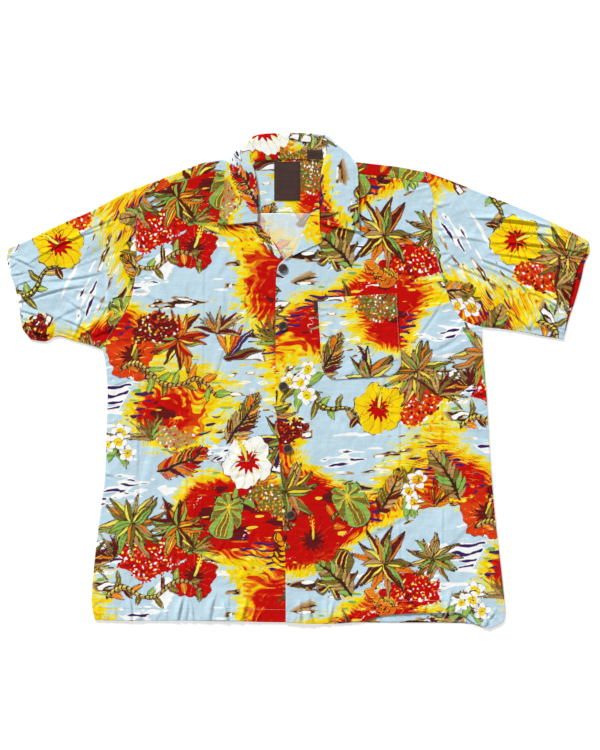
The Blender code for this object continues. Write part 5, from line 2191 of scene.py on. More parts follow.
    def build(self, finish: Finish, thread: Finish) -> bpy.types.Object:
        """Make the collar and the stitching near its edge.

        Args:
            finish: the printed cloth.
            thread: that of the stitching.

        Returns:
            The piece.
        """
        net = self.net()
        dense = np.linspace(0, 1, 361)
        body = self.surface(net, dense, dense)
        round_neck, t = self.places(body, 0)
        across, s = self.places(body, 1)
        middle = self.surface(net, round_neck, across)
        run = np.linalg.norm(np.diff(middle, axis=1), axis=-1).cumsum(axis=1)
        run = np.hstack([0 * run[:, :1], run])
        neck = np.linalg.norm(np.diff(middle, axis=0), axis=-1).cumsum(axis=0)
        neck = np.vstack([0 * neck[:1], neck])
        crest = int(np.searchsorted(across, 0.33))
        place = np.stack([neck[:, crest:crest + 1] + 0 * run, run - run[:, crest:crest + 1]], axis=-1)
        shown = ease(FALL_Z - 0.9, FALL_Z - 0.3, middle[..., 2])  # the wings and no other part
        to_edge = np.minimum(run[:, -1:] - run, np.minimum(neck, neck[-1:] - neck))
        bumps = Relief(seed=self.seed, swell=0.12, parts=soft_creases((0, 0, 420, 60), 9, 0.6, self.seed + 1))
        relief = shown * (bumps(place) + 0.25 * np.exp(-(to_edge / 5.0) ** 2)
                          - 0.3 * np.exp(-((to_edge - self.stitch_margin) / 1.1) ** 2))
        cloth = self.cut.place(place)
        printed = Skin(middle, s, t, np.maximum(relief, -0.3), cloth)
        keep = slice(2, -2)
        inner = Skin(middle[keep, keep], s[keep], t[keep], 0.0, cloth[keep, keep])
        wall = Wall("collar_cloth", printed.flipped(), inner.flipped())
        piece = wall.build(finish)
        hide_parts("collar")
        declare(piece, middle)
        self.topstitch(wall.skins()[0][:, ::-1], run, neck, thread)
        return piece

    def topstitch(self, top: Array, run: Array, neck: Array, thread: Finish) -> None:
        """Stitches along each wing: up from the front edge, round the tip and along the rim.

        Args:
            top: points of the printed side.
            run: distance of each from the seam.
            neck: distance of each along the neck.
            thread: the thread.
        """
        lines = []
        for back in (False, True):
            grid, far = (top[::-1], run[::-1]) if back else (top, run)
            from_front = np.abs(neck - neck[-1:])[::-1] if back else neck
            row = np.argmax(from_front[:, -1] > self.stitch_margin)
            last = np.argmax(grid[:, -4, 2] < FALL_Z - 0.6)
            rows = np.arange(row, last).astype(float)
            column = np.array([np.interp(far[int(r), -1] - self.stitch_margin, far[int(r)],
                                         np.arange(far.shape[1])) for r in rows])
            start = np.argmax(grid[row, :, 2] > FALL_Z - 0.2)
            front = np.arange(start + 2, column[0])
            way = np.concatenate([0 * front + row, rows]), np.concatenate([front, column])
            lines.append(trace(grid, *way))
        Stitching("collar_stitching", lines, 2.7, 2.3, 0.66).build(thread)


@dataclass
class Lapel:
    """Turned-out facing of a front, lying on it beside the V: rows of its two edges, from the V up."""
    name: str
    front: Front
    rows: list[tuple[float, float, float, float]]
    cut: Cut
    length: float
    width: float = 30.0
    pitch: float = 1.3
    inner_pitch: float = 2.4

    def plan(self, s: Array, t: Array) -> Array:
        """Plan grid: straight lines from one edge to the other."""
        rows = smooth(self.rows, t)
        return rows[:, None, :2] * (1 - s)[None, :, None] + rows[:, None, 2:] * s[None, :, None]

    def build(self, finish: Finish) -> bpy.types.Object:
        """Make the lapel a layer above its front.

        Args:
            finish: the printed cloth.

        Returns:
            The piece.
        """
        skins = []
        for k, (s, t) in enumerate(skin_shares(self.width, self.length, self.pitch, self.inner_pitch)):
            plan = self.plan(s, t)
            middle = lifted(plan, self.front.top(plan) + LAYER_GAP + WALL / 2)
            relief = 0.0 if k else Relief(seed=600, swell=0.08)(plan)
            skins.append(Skin(middle, s, t, relief, self.cut.place(plan)))
        piece = Wall(self.name + "_cloth", *skins).build(finish)
        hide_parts(self.name)
        declare(piece, skins[0].middle)
        return piece


# ---------- Pocket, labels, stitching and buttons ----------

def rounded_plan(width: float, height: float, corner: float, s: Array, t: Array) -> Array:
    """Rectangle whose two lower corners are quarter circles, as straight columns from its lower edge up.

    Args:
        width, height: its size.
        corner: radius of the corners.
        s, t: shares across and upwards.

    Returns:
        Rows by columns by 2.
    """
    x = (2 * s - 1)[None, :] * width / 2 + 0 * t[:, None]
    inset = np.maximum(np.abs(x) - (width / 2 - corner), 0) / corner
    low = -height / 2 + corner * (1 - np.sqrt(np.clip(1 - inset ** 2, 0, 1)))
    return np.stack([x, low + (height / 2 - low) * t[:, None]], axis=-1)


def turned_plan(plan: Array, angle: float, centre: tuple[float, float]) -> Array:
    """A plan turned about its middle and placed."""
    return np.stack(spin(plan[..., 0], plan[..., 1], -angle), axis=-1) + np.array(centre)


@dataclass
class Stitching:
    """Rows of stitches, each a spindle with pointed ends: two rings of six points and a tip at either end."""
    name: str
    rows: list[Array]  # polylines on the cloth, in mm
    pitch: float = 3.0
    long: float = 2.3
    thick: float = 0.5
    sides: int = 6

    def build(self, finish: Finish, slot: str = "print_cloth") -> bpy.types.Object:
        """Make all stitches as one piece.

        Args:
            finish: the thread.
            slot: handed on to the mesh, which does not use it.

        Returns:
            The piece.
        """
        starts, ends = [], []
        for row in self.rows:
            length = along3(row)
            middles = np.arange(self.pitch / 2, length[-1], self.pitch)
            for spots, shift in ((starts, -0.5), (ends, 0.5)):
                at = np.clip(middles + shift * self.long, 0, length[-1])
                spots.append(np.stack([np.interp(at, length, column) for column in row.T], axis=1))
        a, b = np.vstack(starts), np.vstack(ends)
        run = b - a
        side = np.cross(run, (0, 0, 1))
        side /= np.linalg.norm(side, axis=1)[:, None]
        up = np.cross(side, run)
        up /= np.linalg.norm(up, axis=1)[:, None]
        angles = 2 * math.pi * np.arange(self.sides) / self.sides
        ring = (self.thick / 2) * (np.cos(angles)[:, None, None] * side + np.sin(angles)[:, None, None] * up)
        near, far = a + run * 0.22 + ring, a + run * 0.78 + ring
        points = np.concatenate([a[None], near, far, b[None]]).transpose(1, 0, 2)
        n, per = self.sides, 2 * self.sides + 2
        k = np.arange(n)
        following = (k + 1) % n
        quads = np.stack([1 + k, 1 + following, 1 + n + following, 1 + n + k], axis=1)[:, ::-1]
        tips = np.vstack([np.stack([0 * k, 1 + following, 1 + k], axis=1)[:, ::-1],
                          np.stack([0 * k + per - 1, 1 + n + k, 1 + n + following], axis=1)[:, ::-1]])
        shift = per * np.arange(len(a))[:, None, None]
        mesh = Mesh(points.reshape(-1, 3), (quads + shift).reshape(-1, 4), (tips + shift).reshape(-1, 3))
        return mesh.build(self.name, finish, slot)


@dataclass
class Pocket:
    """Patch pocket on the left chest, and the small folded tab caught in its inner side."""
    front: Front
    cut: Cut
    width: float = 126.0
    height: float = 130.0
    corner: float = 24.0
    centre: tuple[float, float] = (97.0, 69.0)
    tilt: float = math.radians(3.6)
    tab: tuple[float, float] = (6.0, 19.0)
    tab_drop: float = 3.0
    tab_wall: float = 0.8
    tab_ply: float = 0.36
    seam: float = 2.0
    hem: float = 20.0
    inner_pitch: float = 2.6
    edge_sink: float = 0.2  # how much closer to the front its sewn edge lies
    sink_reach: tuple[float, float] = (2.0, 9.0)  # distances from the edge over which it comes back

    def outline(self, margin: float, top: float) -> Array:
        """Plan of the line inside the pocket's sides and lower edge, from upper left to upper right.

        Args:
            margin: distance inside the edge.
            top: height of its ends over the middle.

        Returns:
            Points of the line.
        """
        half, low, corner = self.width / 2 - margin, -self.height / 2 + margin, self.corner - margin
        turn = np.linspace(0, math.pi / 2, 14)
        right = np.stack([half - corner + corner * np.sin(turn), low + corner - corner * np.cos(turn)],
                         axis=1)
        left = right[::-1] * (-1, 1)
        line = np.vstack([[(-half, top)], left, right, [(half, top)]])
        even = np.linspace(0, along(line)[-1], 260)
        return turned_plan(sampled(line, even), self.tilt, self.centre)

    def build(self, finish: Finish, tape: Finish, thread: Finish) -> bpy.types.Object:
        """Make the pocket, its stitching and the tab.

        Args:
            finish: the printed cloth.
            tape: that of the tab.
            thread: that of the stitching.

        Returns:
            The pocket.
        """
        skins = []
        edge = self.outline(0.0, self.height / 2)[::3]
        ends = np.array([(-self.width / 2, self.height / 2), (self.width / 2, self.height / 2)])
        top_line = turned_plan(ends, self.tilt, self.centre)
        bumps = Relief(seed=700, swell=0.10, parts=[
            Welt(edge, self.seam + 1.2, 0.12, 0.22), Welt(top_line, self.hem, 0.25),
            *puckers(edge, (6, 20), 15, 0.28, 701), *soft_creases((45, 15, 150, 125), 6, 1.1, 703)])
        for k, (s, t) in enumerate(skin_shares(self.width, self.height, FINE, self.inner_pitch)):
            upright = rounded_plan(self.width, self.height, self.corner, s, t)
            plan = turned_plan(upright, self.tilt, self.centre)
            near = 1 - ease(*self.sink_reach, distance_to(plan, edge))
            gap = LAYER_GAP - self.edge_sink * near
            middle = lifted(plan, self.front.top(plan) + gap + WALL / 2)
            skins.append(Skin(middle, s, t, 0.0 if k else np.maximum(bumps(plan), -0.4), self.cut.place(plan),
                              float(k)))
        piece = Wall("pocket_cloth", *skins).build(finish)
        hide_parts("pocket")
        declare(piece, skins[0].middle, cut=(self.width, self.height))
        sides = self.outline(self.seam, self.height / 2 - 1)
        x = np.linspace(-self.width / 2 + self.seam, self.width / 2 - self.seam, 90)
        level = np.stack([x, 0 * x + self.height / 2 - self.hem], axis=1)
        across = turned_plan(level, self.tilt, self.centre)
        rows = [self.on_cloth(line, bumps) for line in (sides, across)]
        Stitching("pocket_stitching", rows).build(thread)
        self.make_tab(tape)
        return piece

    def on_cloth(self, line: Array, bumps: Relief) -> Array:
        """A line of stitching laid on the pocket's printed side."""
        return lifted(line, self.front.top(line) + LAYER_GAP + WALL + bumps(line) + STITCH_RISE)

    def make_tab(self, tape: Finish) -> None:
        """A ribbon folded in half, whose columns run outwards below, round the fold and back on top.

        Args:
            tape: its finish.
        """
        width, height = self.tab
        radius = (self.tab_wall - self.tab_ply) / 2
        flat, bend = width - radius, math.pi * radius
        total = 2 * flat + bend
        beside = np.array([-self.width / 2 - SEAM_GAP, (self.height - height) / 2 - self.tab_drop])
        skins = []
        for s, t in skin_shares(total, height, 0.35, 0.8, stretch=2.0):
            way = s * total
            angle = np.clip((way - flat) / bend, 0, 1) * math.pi
            x = np.where(way > flat + bend, way - flat - bend - flat, -np.minimum(way, flat))
            x = x - radius * np.sin(angle)
            grid = np.stack(np.meshgrid(x, (t - 0.5) * height), axis=-1) + beside
            plan = turned_plan(grid, self.tilt, self.centre)
            z = self.front.top(plan) + LAYER_GAP + self.tab_ply / 2 + radius * (1 - np.cos(angle))
            skins.append(Skin(lifted(plan, z), s, t))
        piece = Wall("pocket_tab_tape", *skins, thickness=self.tab_ply).build(tape, "woven_label")
        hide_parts("pocket_tab")
        declare(piece, skins[0].middle)


class Seat(Enum):
    """The piece that a label is sewn to."""
    YOKE = "yoke_cloth"
    BAND = "collar_cloth"


@dataclass
class Label:
    """A bare woven label."""
    name: str
    size: tuple[float, float]
    centre: tuple[float, float]
    seat: Seat
    thickness: float = 0.8
    pitch: float = 0.9
    inner_pitch: float = 2.5
    margin: float = 1.2  # of the stitching from the edge
    band_rise: float = 0.7  # of the collar's band towards its fold, between two heights
    band_y: tuple[float, float] = (350.0, 362.0)
    turn_rise: float = 1.4  # and towards the wing, between two places
    turn_x: tuple[float, float] = (24.0, 38.0)
    seed: int = 800

    def bottom(self, plan: Array) -> Array:
        """Height of its lower side: on the yoke, or on the collar's band, which rises to its fold.

        Args:
            plan: points in plan.

        Returns:
            One height for each point.
        """
        if self.seat is Seat.YOKE:
            return WALL + LAYER_GAP + 0 * plan[..., 0]
        band = BAND_Z + WALL / 2 + LAYER_GAP + self.band_rise * ease(*self.band_y, plan[..., 1])
        return band + self.turn_rise * ease(*self.turn_x, plan[..., 0])

    def build(self, tape: Finish, thread: Finish) -> bpy.types.Object:
        """Make the label and the stitches that hold it.

        Args:
            tape: the label's finish.
            thread: that of the stitches.

        Returns:
            The label.
        """
        width, height = self.size
        skins = []
        for k, (s, t) in enumerate(skin_shares(width, height, self.pitch, self.inner_pitch)):
            plan = np.stack(np.meshgrid((s - 0.5) * width, (t - 0.5) * height), axis=-1) + self.centre
            noise = 0.0 if k else 0.07 * Waves(17, 23, self.seed)(plan[..., 0], plan[..., 1])
            skins.append(Skin(lifted(plan, self.bottom(plan) + self.thickness / 2), s, t, noise))
        piece = Wall(self.name + "_tape", *skins, thickness=self.thickness).build(tape, "woven_label")
        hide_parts(self.name)
        declare(piece, skins[0].middle)
        half = (width / 2 - self.margin, height / 2 - self.margin)
        corners = np.array([(-1, -1), (1, -1), (1, 1), (-1, 1), (-1, -1)]) * half
        line = sampled(corners + self.centre, np.linspace(0, along(corners)[-1], 200))
        row = lifted(line, self.bottom(line) + self.thickness + 0.08)
        Stitching(self.name + "_stitching", [row], 2.4, 1.9, 0.35).build(thread, "woven_label")
        return piece


@dataclass
class Buttons:
    """Dished four-hole buttons: a profile turned round an axis and bored four times."""
    tilts: tuple[float, ...] = (0.0, 0.6, -0.8, 3.0, 0.5)  # degrees
    radius: float = 7.5
    thickness: float = 2.4
    dish_depth: float = 0.7
    dish_radius: float = 4.6
    rounding: float = 0.9
    waist: float = 0.62
    hole_radius: float = 0.85
    hole_pitch: float = 1.7
    sides: int = 64
    hole_sides: int = 16

    def profile(self) -> Array:
        """Radius and height from the middle of the underside, round the rim, to the middle of the dish.

        Returns:
            Rows of radius and height.
        """
        r, t, round_by = self.radius, self.thickness, self.rounding
        low = np.linspace(-math.pi / 2, 0, 7)
        high = np.linspace(0, math.pi / 2, 8)
        middle = t * self.waist
        outer = np.concatenate([
            np.stack([r - round_by + round_by * np.cos(low), middle * (1 + np.sin(low))], axis=1),
            np.stack([r - round_by + round_by * np.cos(high), middle + (t - middle) * np.sin(high)],
                     axis=1)[1:]])
        fall = np.linspace(0, 1, 9)[1:]
        start, end = r - round_by - 0.5, self.dish_radius - round_by
        sunk = self.dish_depth * fall * fall * (3 - 2 * fall)
        dish = np.stack([start + (end - start) * fall, t - sunk], axis=1)
        floor = np.array([(end * 0.5, t - self.dish_depth - 0.03)])
        under = np.array([(r * 0.45, 0.0)])
        return np.vstack([under, outer, [(start, t)], dish, floor])

    def turned(self) -> Mesh:
        """The blank: rings of the profile, closed by a fan at either end.

        Returns:
            The mesh.
        """
        profile = self.profile()
        angles = 2 * math.pi * np.arange(self.sides) / self.sides
        rings = np.stack([np.outer(profile[:, 0], np.cos(angles)), np.outer(profile[:, 0], np.sin(angles)),
                          np.repeat(profile[:, 1:], self.sides, axis=1)], axis=-1)
        count = len(profile)
        number = np.arange(count * self.sides).reshape(count, self.sides)
        number = np.hstack([number, number[:, :1]])
        quads = np.stack([number[:-1, :-1], number[:-1, 1:], number[1:, 1:], number[1:, :-1]], axis=-1)
        poles = count * self.sides + np.zeros(self.sides, int)
        fans = np.vstack([np.stack([number[0, 1:], number[0, :-1], poles], axis=1),
                          np.stack([number[-1, :-1], number[-1, 1:], poles + 1], axis=1)])
        centre = np.array([(0, 0, profile[0, 1]), (0, 0, profile[-1, 1] - 0.02)])
        return Mesh(np.vstack([rings.reshape(-1, 3), centre]), quads.reshape(-1, 4), fans)

    def drill(self) -> bpy.types.Object:
        """Four round cutters through the blank.

        Returns:
            The cutters, as one object.
        """
        n = self.hole_sides
        angles = 2 * math.pi * np.arange(n) / n
        spots = self.hole_pitch * np.array([(1, 1), (-1, 1), (-1, -1), (1, -1)])
        ring = self.hole_radius * np.stack([np.cos(angles), np.sin(angles)], axis=1)
        low = np.concatenate([spots[:, None] + ring, np.full((4, n, 1), -1.0)], axis=-1)
        high = low + (0, 0, self.thickness + 2)
        points = np.concatenate([low, high], axis=1).reshape(-1, 3) * MM
        faces = []
        for k in range(4):
            low_ring = 2 * n * k + np.arange(n)
            high_ring = low_ring + n
            faces += [low_ring[::-1].tolist(), high_ring.tolist()]
            corners = [low_ring, np.roll(low_ring, -1), np.roll(high_ring, -1), high_ring]
            faces += np.stack(corners, axis=1).tolist()
        mesh = bpy.data.meshes.new("drill")
        mesh.from_pydata(points.tolist(), [], faces)
        cutter = bpy.data.objects.new("drill", mesh)
        bpy.context.scene.collection.objects.link(cutter)
        return cutter

    def build(self, shell: Finish, thread: Finish) -> None:
        """Make the five buttons where their solids are, and the thread of each.

        Args:
            shell: finish of the buttons.
            thread: the thread.
        """
        drill = self.drill()
        blank = self.turned()
        strands = []
        for number, tilt in enumerate(self.tilts, 1):
            node = f"button_{number}"
            low, high = (np.array(corner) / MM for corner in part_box(node))
            centre = np.array([(low[0] + high[0]) / 2, (low[1] + high[1]) / 2, low[2]])
            turn = math.radians(tilt)
            piece = blank.build(node + "_shell", shell, "button_shell")
            bore = piece.modifiers.new("Holes", "BOOLEAN")
            bore.object, bore.operation = drill, "DIFFERENCE"
            ready = piece.evaluated_get(bpy.context.evaluated_depsgraph_get())
            mesh = bpy.data.meshes.new_from_object(ready)
            piece.modifiers.clear()
            piece.data = mesh
            points = np.empty(len(mesh.vertices) * 3)
            mesh.vertices.foreach_get("co", points)
            local = points.reshape(-1, 3) / MM
            store(piece, "rim", ease(0.62, 1.0, np.hypot(local[:, 0], local[:, 1]) / self.radius))
            placed = self.placed(local, centre, turn)
            mesh.vertices.foreach_set("co", (placed * MM).ravel())
            mesh.update()
            mesh.shade_smooth()
            mesh.set_sharp_from_angle(angle=math.radians(40))
            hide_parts(node)
            strands += self.strands(centre, turn)
        bpy.data.objects.remove(drill)
        Stitching("button_thread", strands, pitch=3.3, long=3.6, thick=0.42).build(thread, "button_shell")

    def placed(self, points: Array, centre: Array, turn: float) -> Array:
        """Points tilted about the button's lower right edge and moved to the button's place."""
        rise = (points[:, 0] + self.radius) * math.sin(abs(turn))
        return points + np.stack([0 * rise, 0 * rise, rise], axis=1) + centre

    def strands(self, centre: Array, turn: float) -> list[Array]:
        """Two bars of three strands each between the holes.

        Args:
            centre: middle of the button's underside.
            turn: its tilt, in radians.

        Returns:
            Six lines.
        """
        z = self.thickness - self.dish_depth + 0.12
        made = []
        for side in (-1, 1):
            for k in (-1, 0, 1):
                y = side * self.hole_pitch + 0.3 * k
                x = np.array([-self.hole_pitch, 0, self.hole_pitch])
                line = np.stack([x, 0 * x + y, z + np.array([-0.2, 0.1, -0.2])], axis=1)
                made.append(self.placed(line, centre, turn))
        return made


@dataclass
class Buttonhole:
    """The top buttonhole, whose end shows beside its button: a dark slit of painted shade between rows of
    stitches.
    """
    front: Front
    start: tuple[float, float] = (-37.0, 173.6)
    end: tuple[float, float] = (-31.0, 173.6)
    clear: float = 0.25  # from the slit to the near end of a stitch
    bar: float = 1.0  # and to its far end
    pitch: float = 0.55

    def build(self, thread: Finish, shade: Finish) -> None:
        """Make the slit and the stitches on both sides of it.

        Args:
            thread: that of the stitches.
            shade: dark finish of the slit, which paints the shade inside the cut.
        """
        a, b = np.array(self.start), np.array(self.end)
        steps = np.linspace(0, 1, int(np.linalg.norm(b - a) / self.pitch))[:, None]
        across = np.array([0.0, 1.0])
        bars = []
        for side in (-1, 1):
            near = a + (b - a) * steps + side * self.clear * across
            far = a + (b - a) * steps + side * self.bar * across
            lines = np.stack([near, far], axis=1)
            bars += [lifted(line, self.front.top(line) + STITCH_RISE) for line in lines]
        Stitching("buttonhole_stitching", bars, pitch=0.7, long=1.2, thick=0.4).build(thread)
        # the slit is painted shade: a dark spindle sunk a little into the cloth's top, where the cut would
        # lie in shadow
        slit = np.stack([a, b])
        slit = lifted(slit, self.front.top(slit) - 0.1)
        length = float(np.linalg.norm(b - a))
        Stitching("buttonhole_slit_painted_shade", [slit], pitch=length, long=length, thick=0.7).build(shade)


# ---------- Studio ----------

@dataclass(frozen=True)
class Studio:
    """Pale floor, soft light and a camera straight above. Its sizes are in metres."""
    centre: tuple[float, float] = (0.0024, 0.0087)
    camera_height: float = 3.2
    frame_height: float = 1.1873
    key: tuple[float, float] = (16.0, 3.75)  # degrees of sky that it fills, and strength
    fill: tuple[float, float] = (60.0, 0.4)
    sky: float = 0.27
    floor_half: float = 20.0
    floor_drop: float = 0.0004
    floor_glow: float = 0.52

    def build(self) -> None:
        """Lay the floor, hang the lights and set the camera."""
        self.floor()
        self.lamp("key", (-1.0, 1.95, 1.25), *self.key)
        self.lamp("fill", (1.6, -1.2, 2.2), *self.fill)
        world = bpy.data.worlds.new("studio")
        world.use_nodes = True
        world.node_tree.nodes["Background"].inputs["Color"].default_value = (1.0, 1.0, 1.0, 1.0)
        world.node_tree.nodes["Background"].inputs["Strength"].default_value = self.sky
        bpy.context.scene.world = world
        bpy.context.scene.view_settings.view_transform = "Standard"
        data = bpy.data.cameras.new("camera")
        data.sensor_width = 36.0
        data.lens = data.sensor_width * self.camera_height / self.frame_height
        camera = bpy.data.objects.new("camera", data)
        camera.location = (*self.centre, self.camera_height)
        bpy.context.scene.collection.objects.link(camera)
        bpy.context.scene.camera = camera

    def floor(self) -> None:
        """A wide matt floor just under the cloth, faintly lit from below like a light table."""
        half, z = self.floor_half, -self.floor_drop
        mesh = bpy.data.meshes.new("floor")
        mesh.from_pydata([(-half, -half, z), (half, -half, z), (half, half, z), (-half, half, z)],
                         [], [(0, 1, 2, 3)])
        finish = Finish("floor", 0.9, Emission_Strength=self.floor_glow)
        tone = finish.noise(finish.place(), 3.0)
        finish.surface("Base Color", finish.mixed(tone, (0.55, 0.55, 0.55, 1.0), (0.57, 0.57, 0.57, 1.0)))
        mesh.materials.append(finish.material)
        floor = bpy.data.objects.new("floor", mesh)
        bpy.context.scene.collection.objects.link(floor)

    def lamp(self, name: str, place: tuple[float, float, float], spread: float, power: float) -> None:
        """A far, wide light that shines from a place towards the middle of the shirt.

        Args:
            name: its name.
            place: where it shines from, in metres.
            spread: the angle that it fills in the sky, in degrees.
            power: its strength.
        """
        data = bpy.data.lights.new(name, "SUN")
        data.angle, data.energy = math.radians(spread), power
        lamp = bpy.data.objects.new(name, data)
        lamp.location = place
        lamp.rotation_euler = (-Vector(place)).to_track_quat("-Z", "Y").to_euler()
        bpy.context.scene.collection.objects.link(lamp)


# ---------- The shirt ----------

COLLAR_REST: list[Box] = [(-95, 238, -58, 352), (28, 228, 62, 352)]  # where the collar lies on the fronts
LAP_REST: Box = (-40, -400, 14, 186)  # the right front's hidden edge
BUTTON_PLACES: Points = [(-24.5, 177), (-24.5, 86), (-24, -9.5), (-17, -108), (-12, -213)]
BUTTON_REACH = 9  # half the width of the calm place under a button
HEM_END_X = 318  # the hems' stitching ends this far from the middle
# Edges of the lapels from the V up: x and y of the inner one, x and y of the outer one
LEFT_LAPEL: list[tuple[float, float, float, float]] = [
    (-22, 191.5, -18, 193), (-11, 198, 1, 202), (-3, 209, 20, 211), (3, 225, 37, 220), (10, 244, 34, 240),
    (17, 258, 33.5, 262), (22.5, 270, 33, 278), (27, 284, 33, 292),
]
RIGHT_LAPEL: list[tuple[float, float, float, float]] = [
    (-32, 193, -25, 193), (-46, 206, -33, 207), (-58, 221, -42, 222), (-67, 234, -53, 234),
    (-72, 243, -63, 243),
]
RIGHT_FOLDS: list[Fold] = [
    (-286, -360, -272, -60, 24, 1.3), (-186, -350, -176, -90, 26, 0.9), (-120, -376, -96, -230, 24, 1.0),
    (-292, 40, -180, 20, 24, 1.1), (-90, 200, -170, 90, 26, 0.8),
]
LEFT_FOLDS: list[Fold] = [
    (290, -340, 276, -20, 24, 1.3), (176, -362, 168, -120, 26, 1.0), (232, -366, 226, -240, 24, 1.6),
    (268, 66, 150, 40, 24, 1.1), (170, 300, 190, 190, 24, 0.8),
]
RIGHT_SLEEVE_FOLDS: list[Fold] = [
    (-300, 90, -390, 150, 20, 1.2), (-265, 250, -420, 200, 22, 1.0), (-330, 80, -420, 90, 16, 1.2),
]
LEFT_SLEEVE_FOLDS: list[Fold] = [
    (240, 280, 430, 210, 18, 1.2), (250, 220, 430, 165, 18, 1.1), (270, 140, 400, 90, 20, 1.2),
]


def creases(rows: list[tuple[float, ...]]) -> list[Crease]:
    """Creases from rows of x0, y0, x1, y1, width and height, and where they need them a bow and a flank."""
    return [Crease(*row) for row in rows]


RIGHT_FRONT_CREASES = creases([
    (-253, -360, -253, 60, 2.6, 0.34, 2.0), (-181, -370, -178, 150, 2.4, 0.34, -2.0),
    (-153, -370, -150, 200, 2.4, 0.26, 1.5), (-284, -303, -284, -343, 2.0, -0.5, 0.6, 1.2),
    (-192, -381, -184, -346, 3.0, 1.2, 1.0), (-166, -381, -172, -350, 2.6, 1.0, -1.0),
    (-141, -381, -133, -342, 3.4, 1.3, 1.4), (-112, -381, -119, -352, 2.8, 1.1),
    (-90, -382, -82, -346, 3.2, 1.2, -1.0), (-12, -383, -6, -350, 3.0, 1.0),
    (-300, 30, -210, 4, 5.0, 0.5, 4.0), (-290, 66, -228, 60, 4.0, 0.45, 3.0),
    (-246, 140, -190, 96, 4.5, 0.4, 5.0), (-120, 250, -170, 170, 6.0, 0.35, 6.0),
    (-60, 150, -120, 60, 5.0, 0.3, 5.0), (-70, -60, -140, -180, 7.0, 0.35, 8.0),
    (-210, -60, -250, -200, 7.0, 0.4, -6.0), (-60, -240, -104, -330, 5.0, 0.35, 4.0),
])
LEFT_FRONT_CREASES = creases([
    (161, -365, 160, 0, 2.6, 0.34, 2.0), (226, -365, 224, 60, 2.6, 0.34, -2.0),
    (-15, -119.5, -12.8, -135, 1.6, -0.4, 0.3, 1.2), (-8.7, -119.5, -0.8, -170, 1.8, -0.45, 1.0, 1.2),
    (6, -384, 2, -352, 2.8, 1.0, 1.0), (22, -384, 16, -346, 2.8, 1.1, 1.0),
    (48, -384, 54, -354, 3.0, 1.1),
    (282, -388, 250, -344, 3.0, 0.9, 3.0), (240, -368, 214, -322, 4.0, 0.6, 3.0),
    (300, -390, 284, -350, 3.0, 0.6, -2.0), (274, 74, 206, 36, 4.5, 0.5, 4.0),
    (236, 128, 176, 106, 4.5, 0.4, 3.0), (212, 210, 160, 170, 5.0, 0.4, 4.0),
    (120, 290, 150, 220, 6.0, 0.3, 5.0), (60, -40, 120, -150, 7.0, 0.35, 8.0),
    (210, -60, 262, -180, 7.0, 0.4, -6.0), (20, -240, 84, -300, 6.0, 0.35, 4.0),
])
RIGHT_SLEEVE_CREASES = creases([
    (-374, 99, -314, 64, 2.8, 0.75, 4.0), (-362, 127, -317, 80, 3.0, 0.7, 4.0),
    (-378, 77, -327, 58, 2.6, 0.7, 2.0), (-332, 69, -296, 83, 2.4, 0.7, -2.0),
    (-345, 70, -314, 100, 2.6, 0.7, -2.0), (-353, 74, -340, 104, 2.6, 0.6, 1.0),
    (-306, 207, -303, 92, 3.4, 0.5, 3.0), (-425, 188, -298, 246, 2.8, 0.7, 5.0),
    (-433, 127, -338, 151, 3.2, 0.7, 4.0), (-277, 214, -256, 230, 2.4, 0.8, 1.0),
    (-452, 196, -420, 180, 2.8, 0.8, 1.0), (-436, 96, -402, 74, 2.6, 1.3, -4.0),
    (-428, 86, -396, 72, 2.2, 1.1, -2.0), (-440, 112, -392, 92, 2.8, 0.7, 3.0),
    (-400, 160, -300, 176, 3.4, 0.5, -4.0), (-352, 228, -276, 262, 2.8, 0.5, 3.0),
])
LEFT_SLEEVE_CREASES = creases([
    (266, 257, 384, 244, 2.6, 1.2, 4.0), (319, 256, 441, 234, 2.2, 1.0, 3.0),
    (335, 235, 438, 224, 2.4, 0.7, 3.0), (315, 218, 453, 202, 2.3, 1.0, 4.0),
    (306, 201, 427, 175, 2.6, 0.75, 5.0), (292, 191, 427, 111, 2.3, 1.2, 9.0),
    (294, 181, 378, 132, 2.6, 0.7, 4.0), (330, 112, 367, 80, 2.2, 1.1, 2.0),
    (243, 145, 297, 112, 2.8, 0.6, 3.0), (224, 230, 319, 214, 3.2, 0.6, 3.0),
    (232, 188, 351, 127, 3.0, 0.6, 6.0), (371, 139, 425, 108, 2.4, 0.6, 2.0),
    (272, 127, 319, 76, 2.8, 0.6, 3.0), (395, 196, 432, 150, 2.6, 0.5, 3.0),
])


def hem_rows(fronts: tuple[Front, Front], sleeves: tuple[Sleeve, Sleeve]) -> list[Array]:
    """Lines of stitching of the hems of both fronts and both cuffs, on their printed side.

    Args:
        fronts: the right and the left front.
        sleeves: both sleeves, already built.

    Returns:
        The lines.
    """
    rows = []
    for front in fronts:
        line = smooth(front.half.hem, 200) + (0, HEM_WIDTH)
        line = line[np.abs(line[:, 0]) < HEM_END_X]
        rows.append(lifted(line, front.top(line) + STITCH_RISE))
    return rows + [sleeve.cuff_seam() + (0, 0, STITCH_RISE) for sleeve in sleeves]


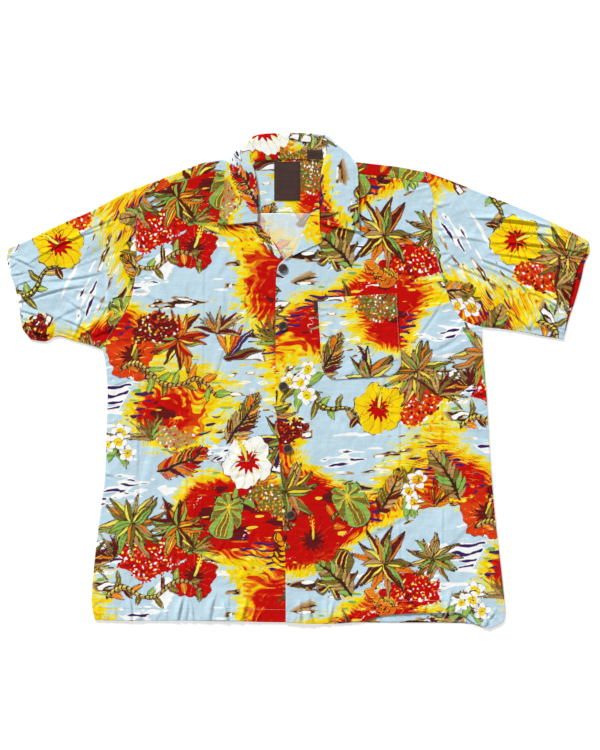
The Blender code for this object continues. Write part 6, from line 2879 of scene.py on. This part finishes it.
def main() -> None:
    """Build the shirt from the surface up, then the studio."""
    logging.basicConfig(level=logging.INFO, format="%(message)s")
    cloth, tape, shell = PrintedCloth(), WovenLabel(), ButtonShell()
    thread, dark_thread = SewingThread("pale_thread", "E6C8A8"), SewingThread("dark_thread", "3A2620")
    Back(Cut(210, 178)).build(cloth)
    Yoke(Cut(300, 90)).build(cloth)
    reach = BUTTON_REACH
    buttons = [(x - reach, y - reach, x + reach, y + reach) for x, y in BUTTON_PLACES]
    right = Front("front_right", RIGHT, RIGHT_FOLDS, RIGHT_FRONT_CREASES, COLLAR_REST + [LAP_REST],
                  (-270, -330, -20, 250), Cut(325, 390), seed=100, width=320.0, pitch=1.67)
    left = Front("front_left", LEFT, LEFT_FOLDS, LEFT_FRONT_CREASES, COLLAR_REST + buttons,
                 (0, -330, 250, 250), Cut(385, 640), seed=200, width=345.0, pitch=1.72)
    for front in (right, left):
        front.build(cloth, ["back_cloth", "yoke_cloth"])
    sleeves = (
        Sleeve("sleeve_right", RIGHT, RIGHT_SLEEVE_FOLDS, RIGHT_SLEEVE_CREASES, Cut(500, 160, 62), seed=20),
        Sleeve("sleeve_left", LEFT, LEFT_SLEEVE_FOLDS, LEFT_SLEEVE_CREASES, Cut(546, 188, -62), seed=40),
    )
    for sleeve in sleeves:
        sleeve.build(cloth)
    Collar(Cut(90, 250)).build(cloth, thread)
    Lapel("facing_left", left, LEFT_LAPEL, Cut(129, -131, 20), 110.0).build(cloth)
    Lapel("facing_right", right, RIGHT_LAPEL, Cut(130, 420, -20), 66.0, 14.0).build(cloth)
    Pocket(left, Cut(190, 300, 3.6)).build(cloth, tape, thread)
    Label("neck_label", (41.0, 62.0), (-18.0, 315.5), Seat.YOKE).build(tape, dark_thread)
    Label("size_tab", (24.0, 15.0), (25.5, 357.2), Seat.BAND).build(tape, dark_thread)
    Stitching("hem_stitching", hem_rows((right, left), sleeves)).build(thread)
    Buttons().build(shell, dark_thread)
    Buttonhole(left).build(thread, dark_thread)
    Studio().build()


if __name__ == "__main__":
    main()
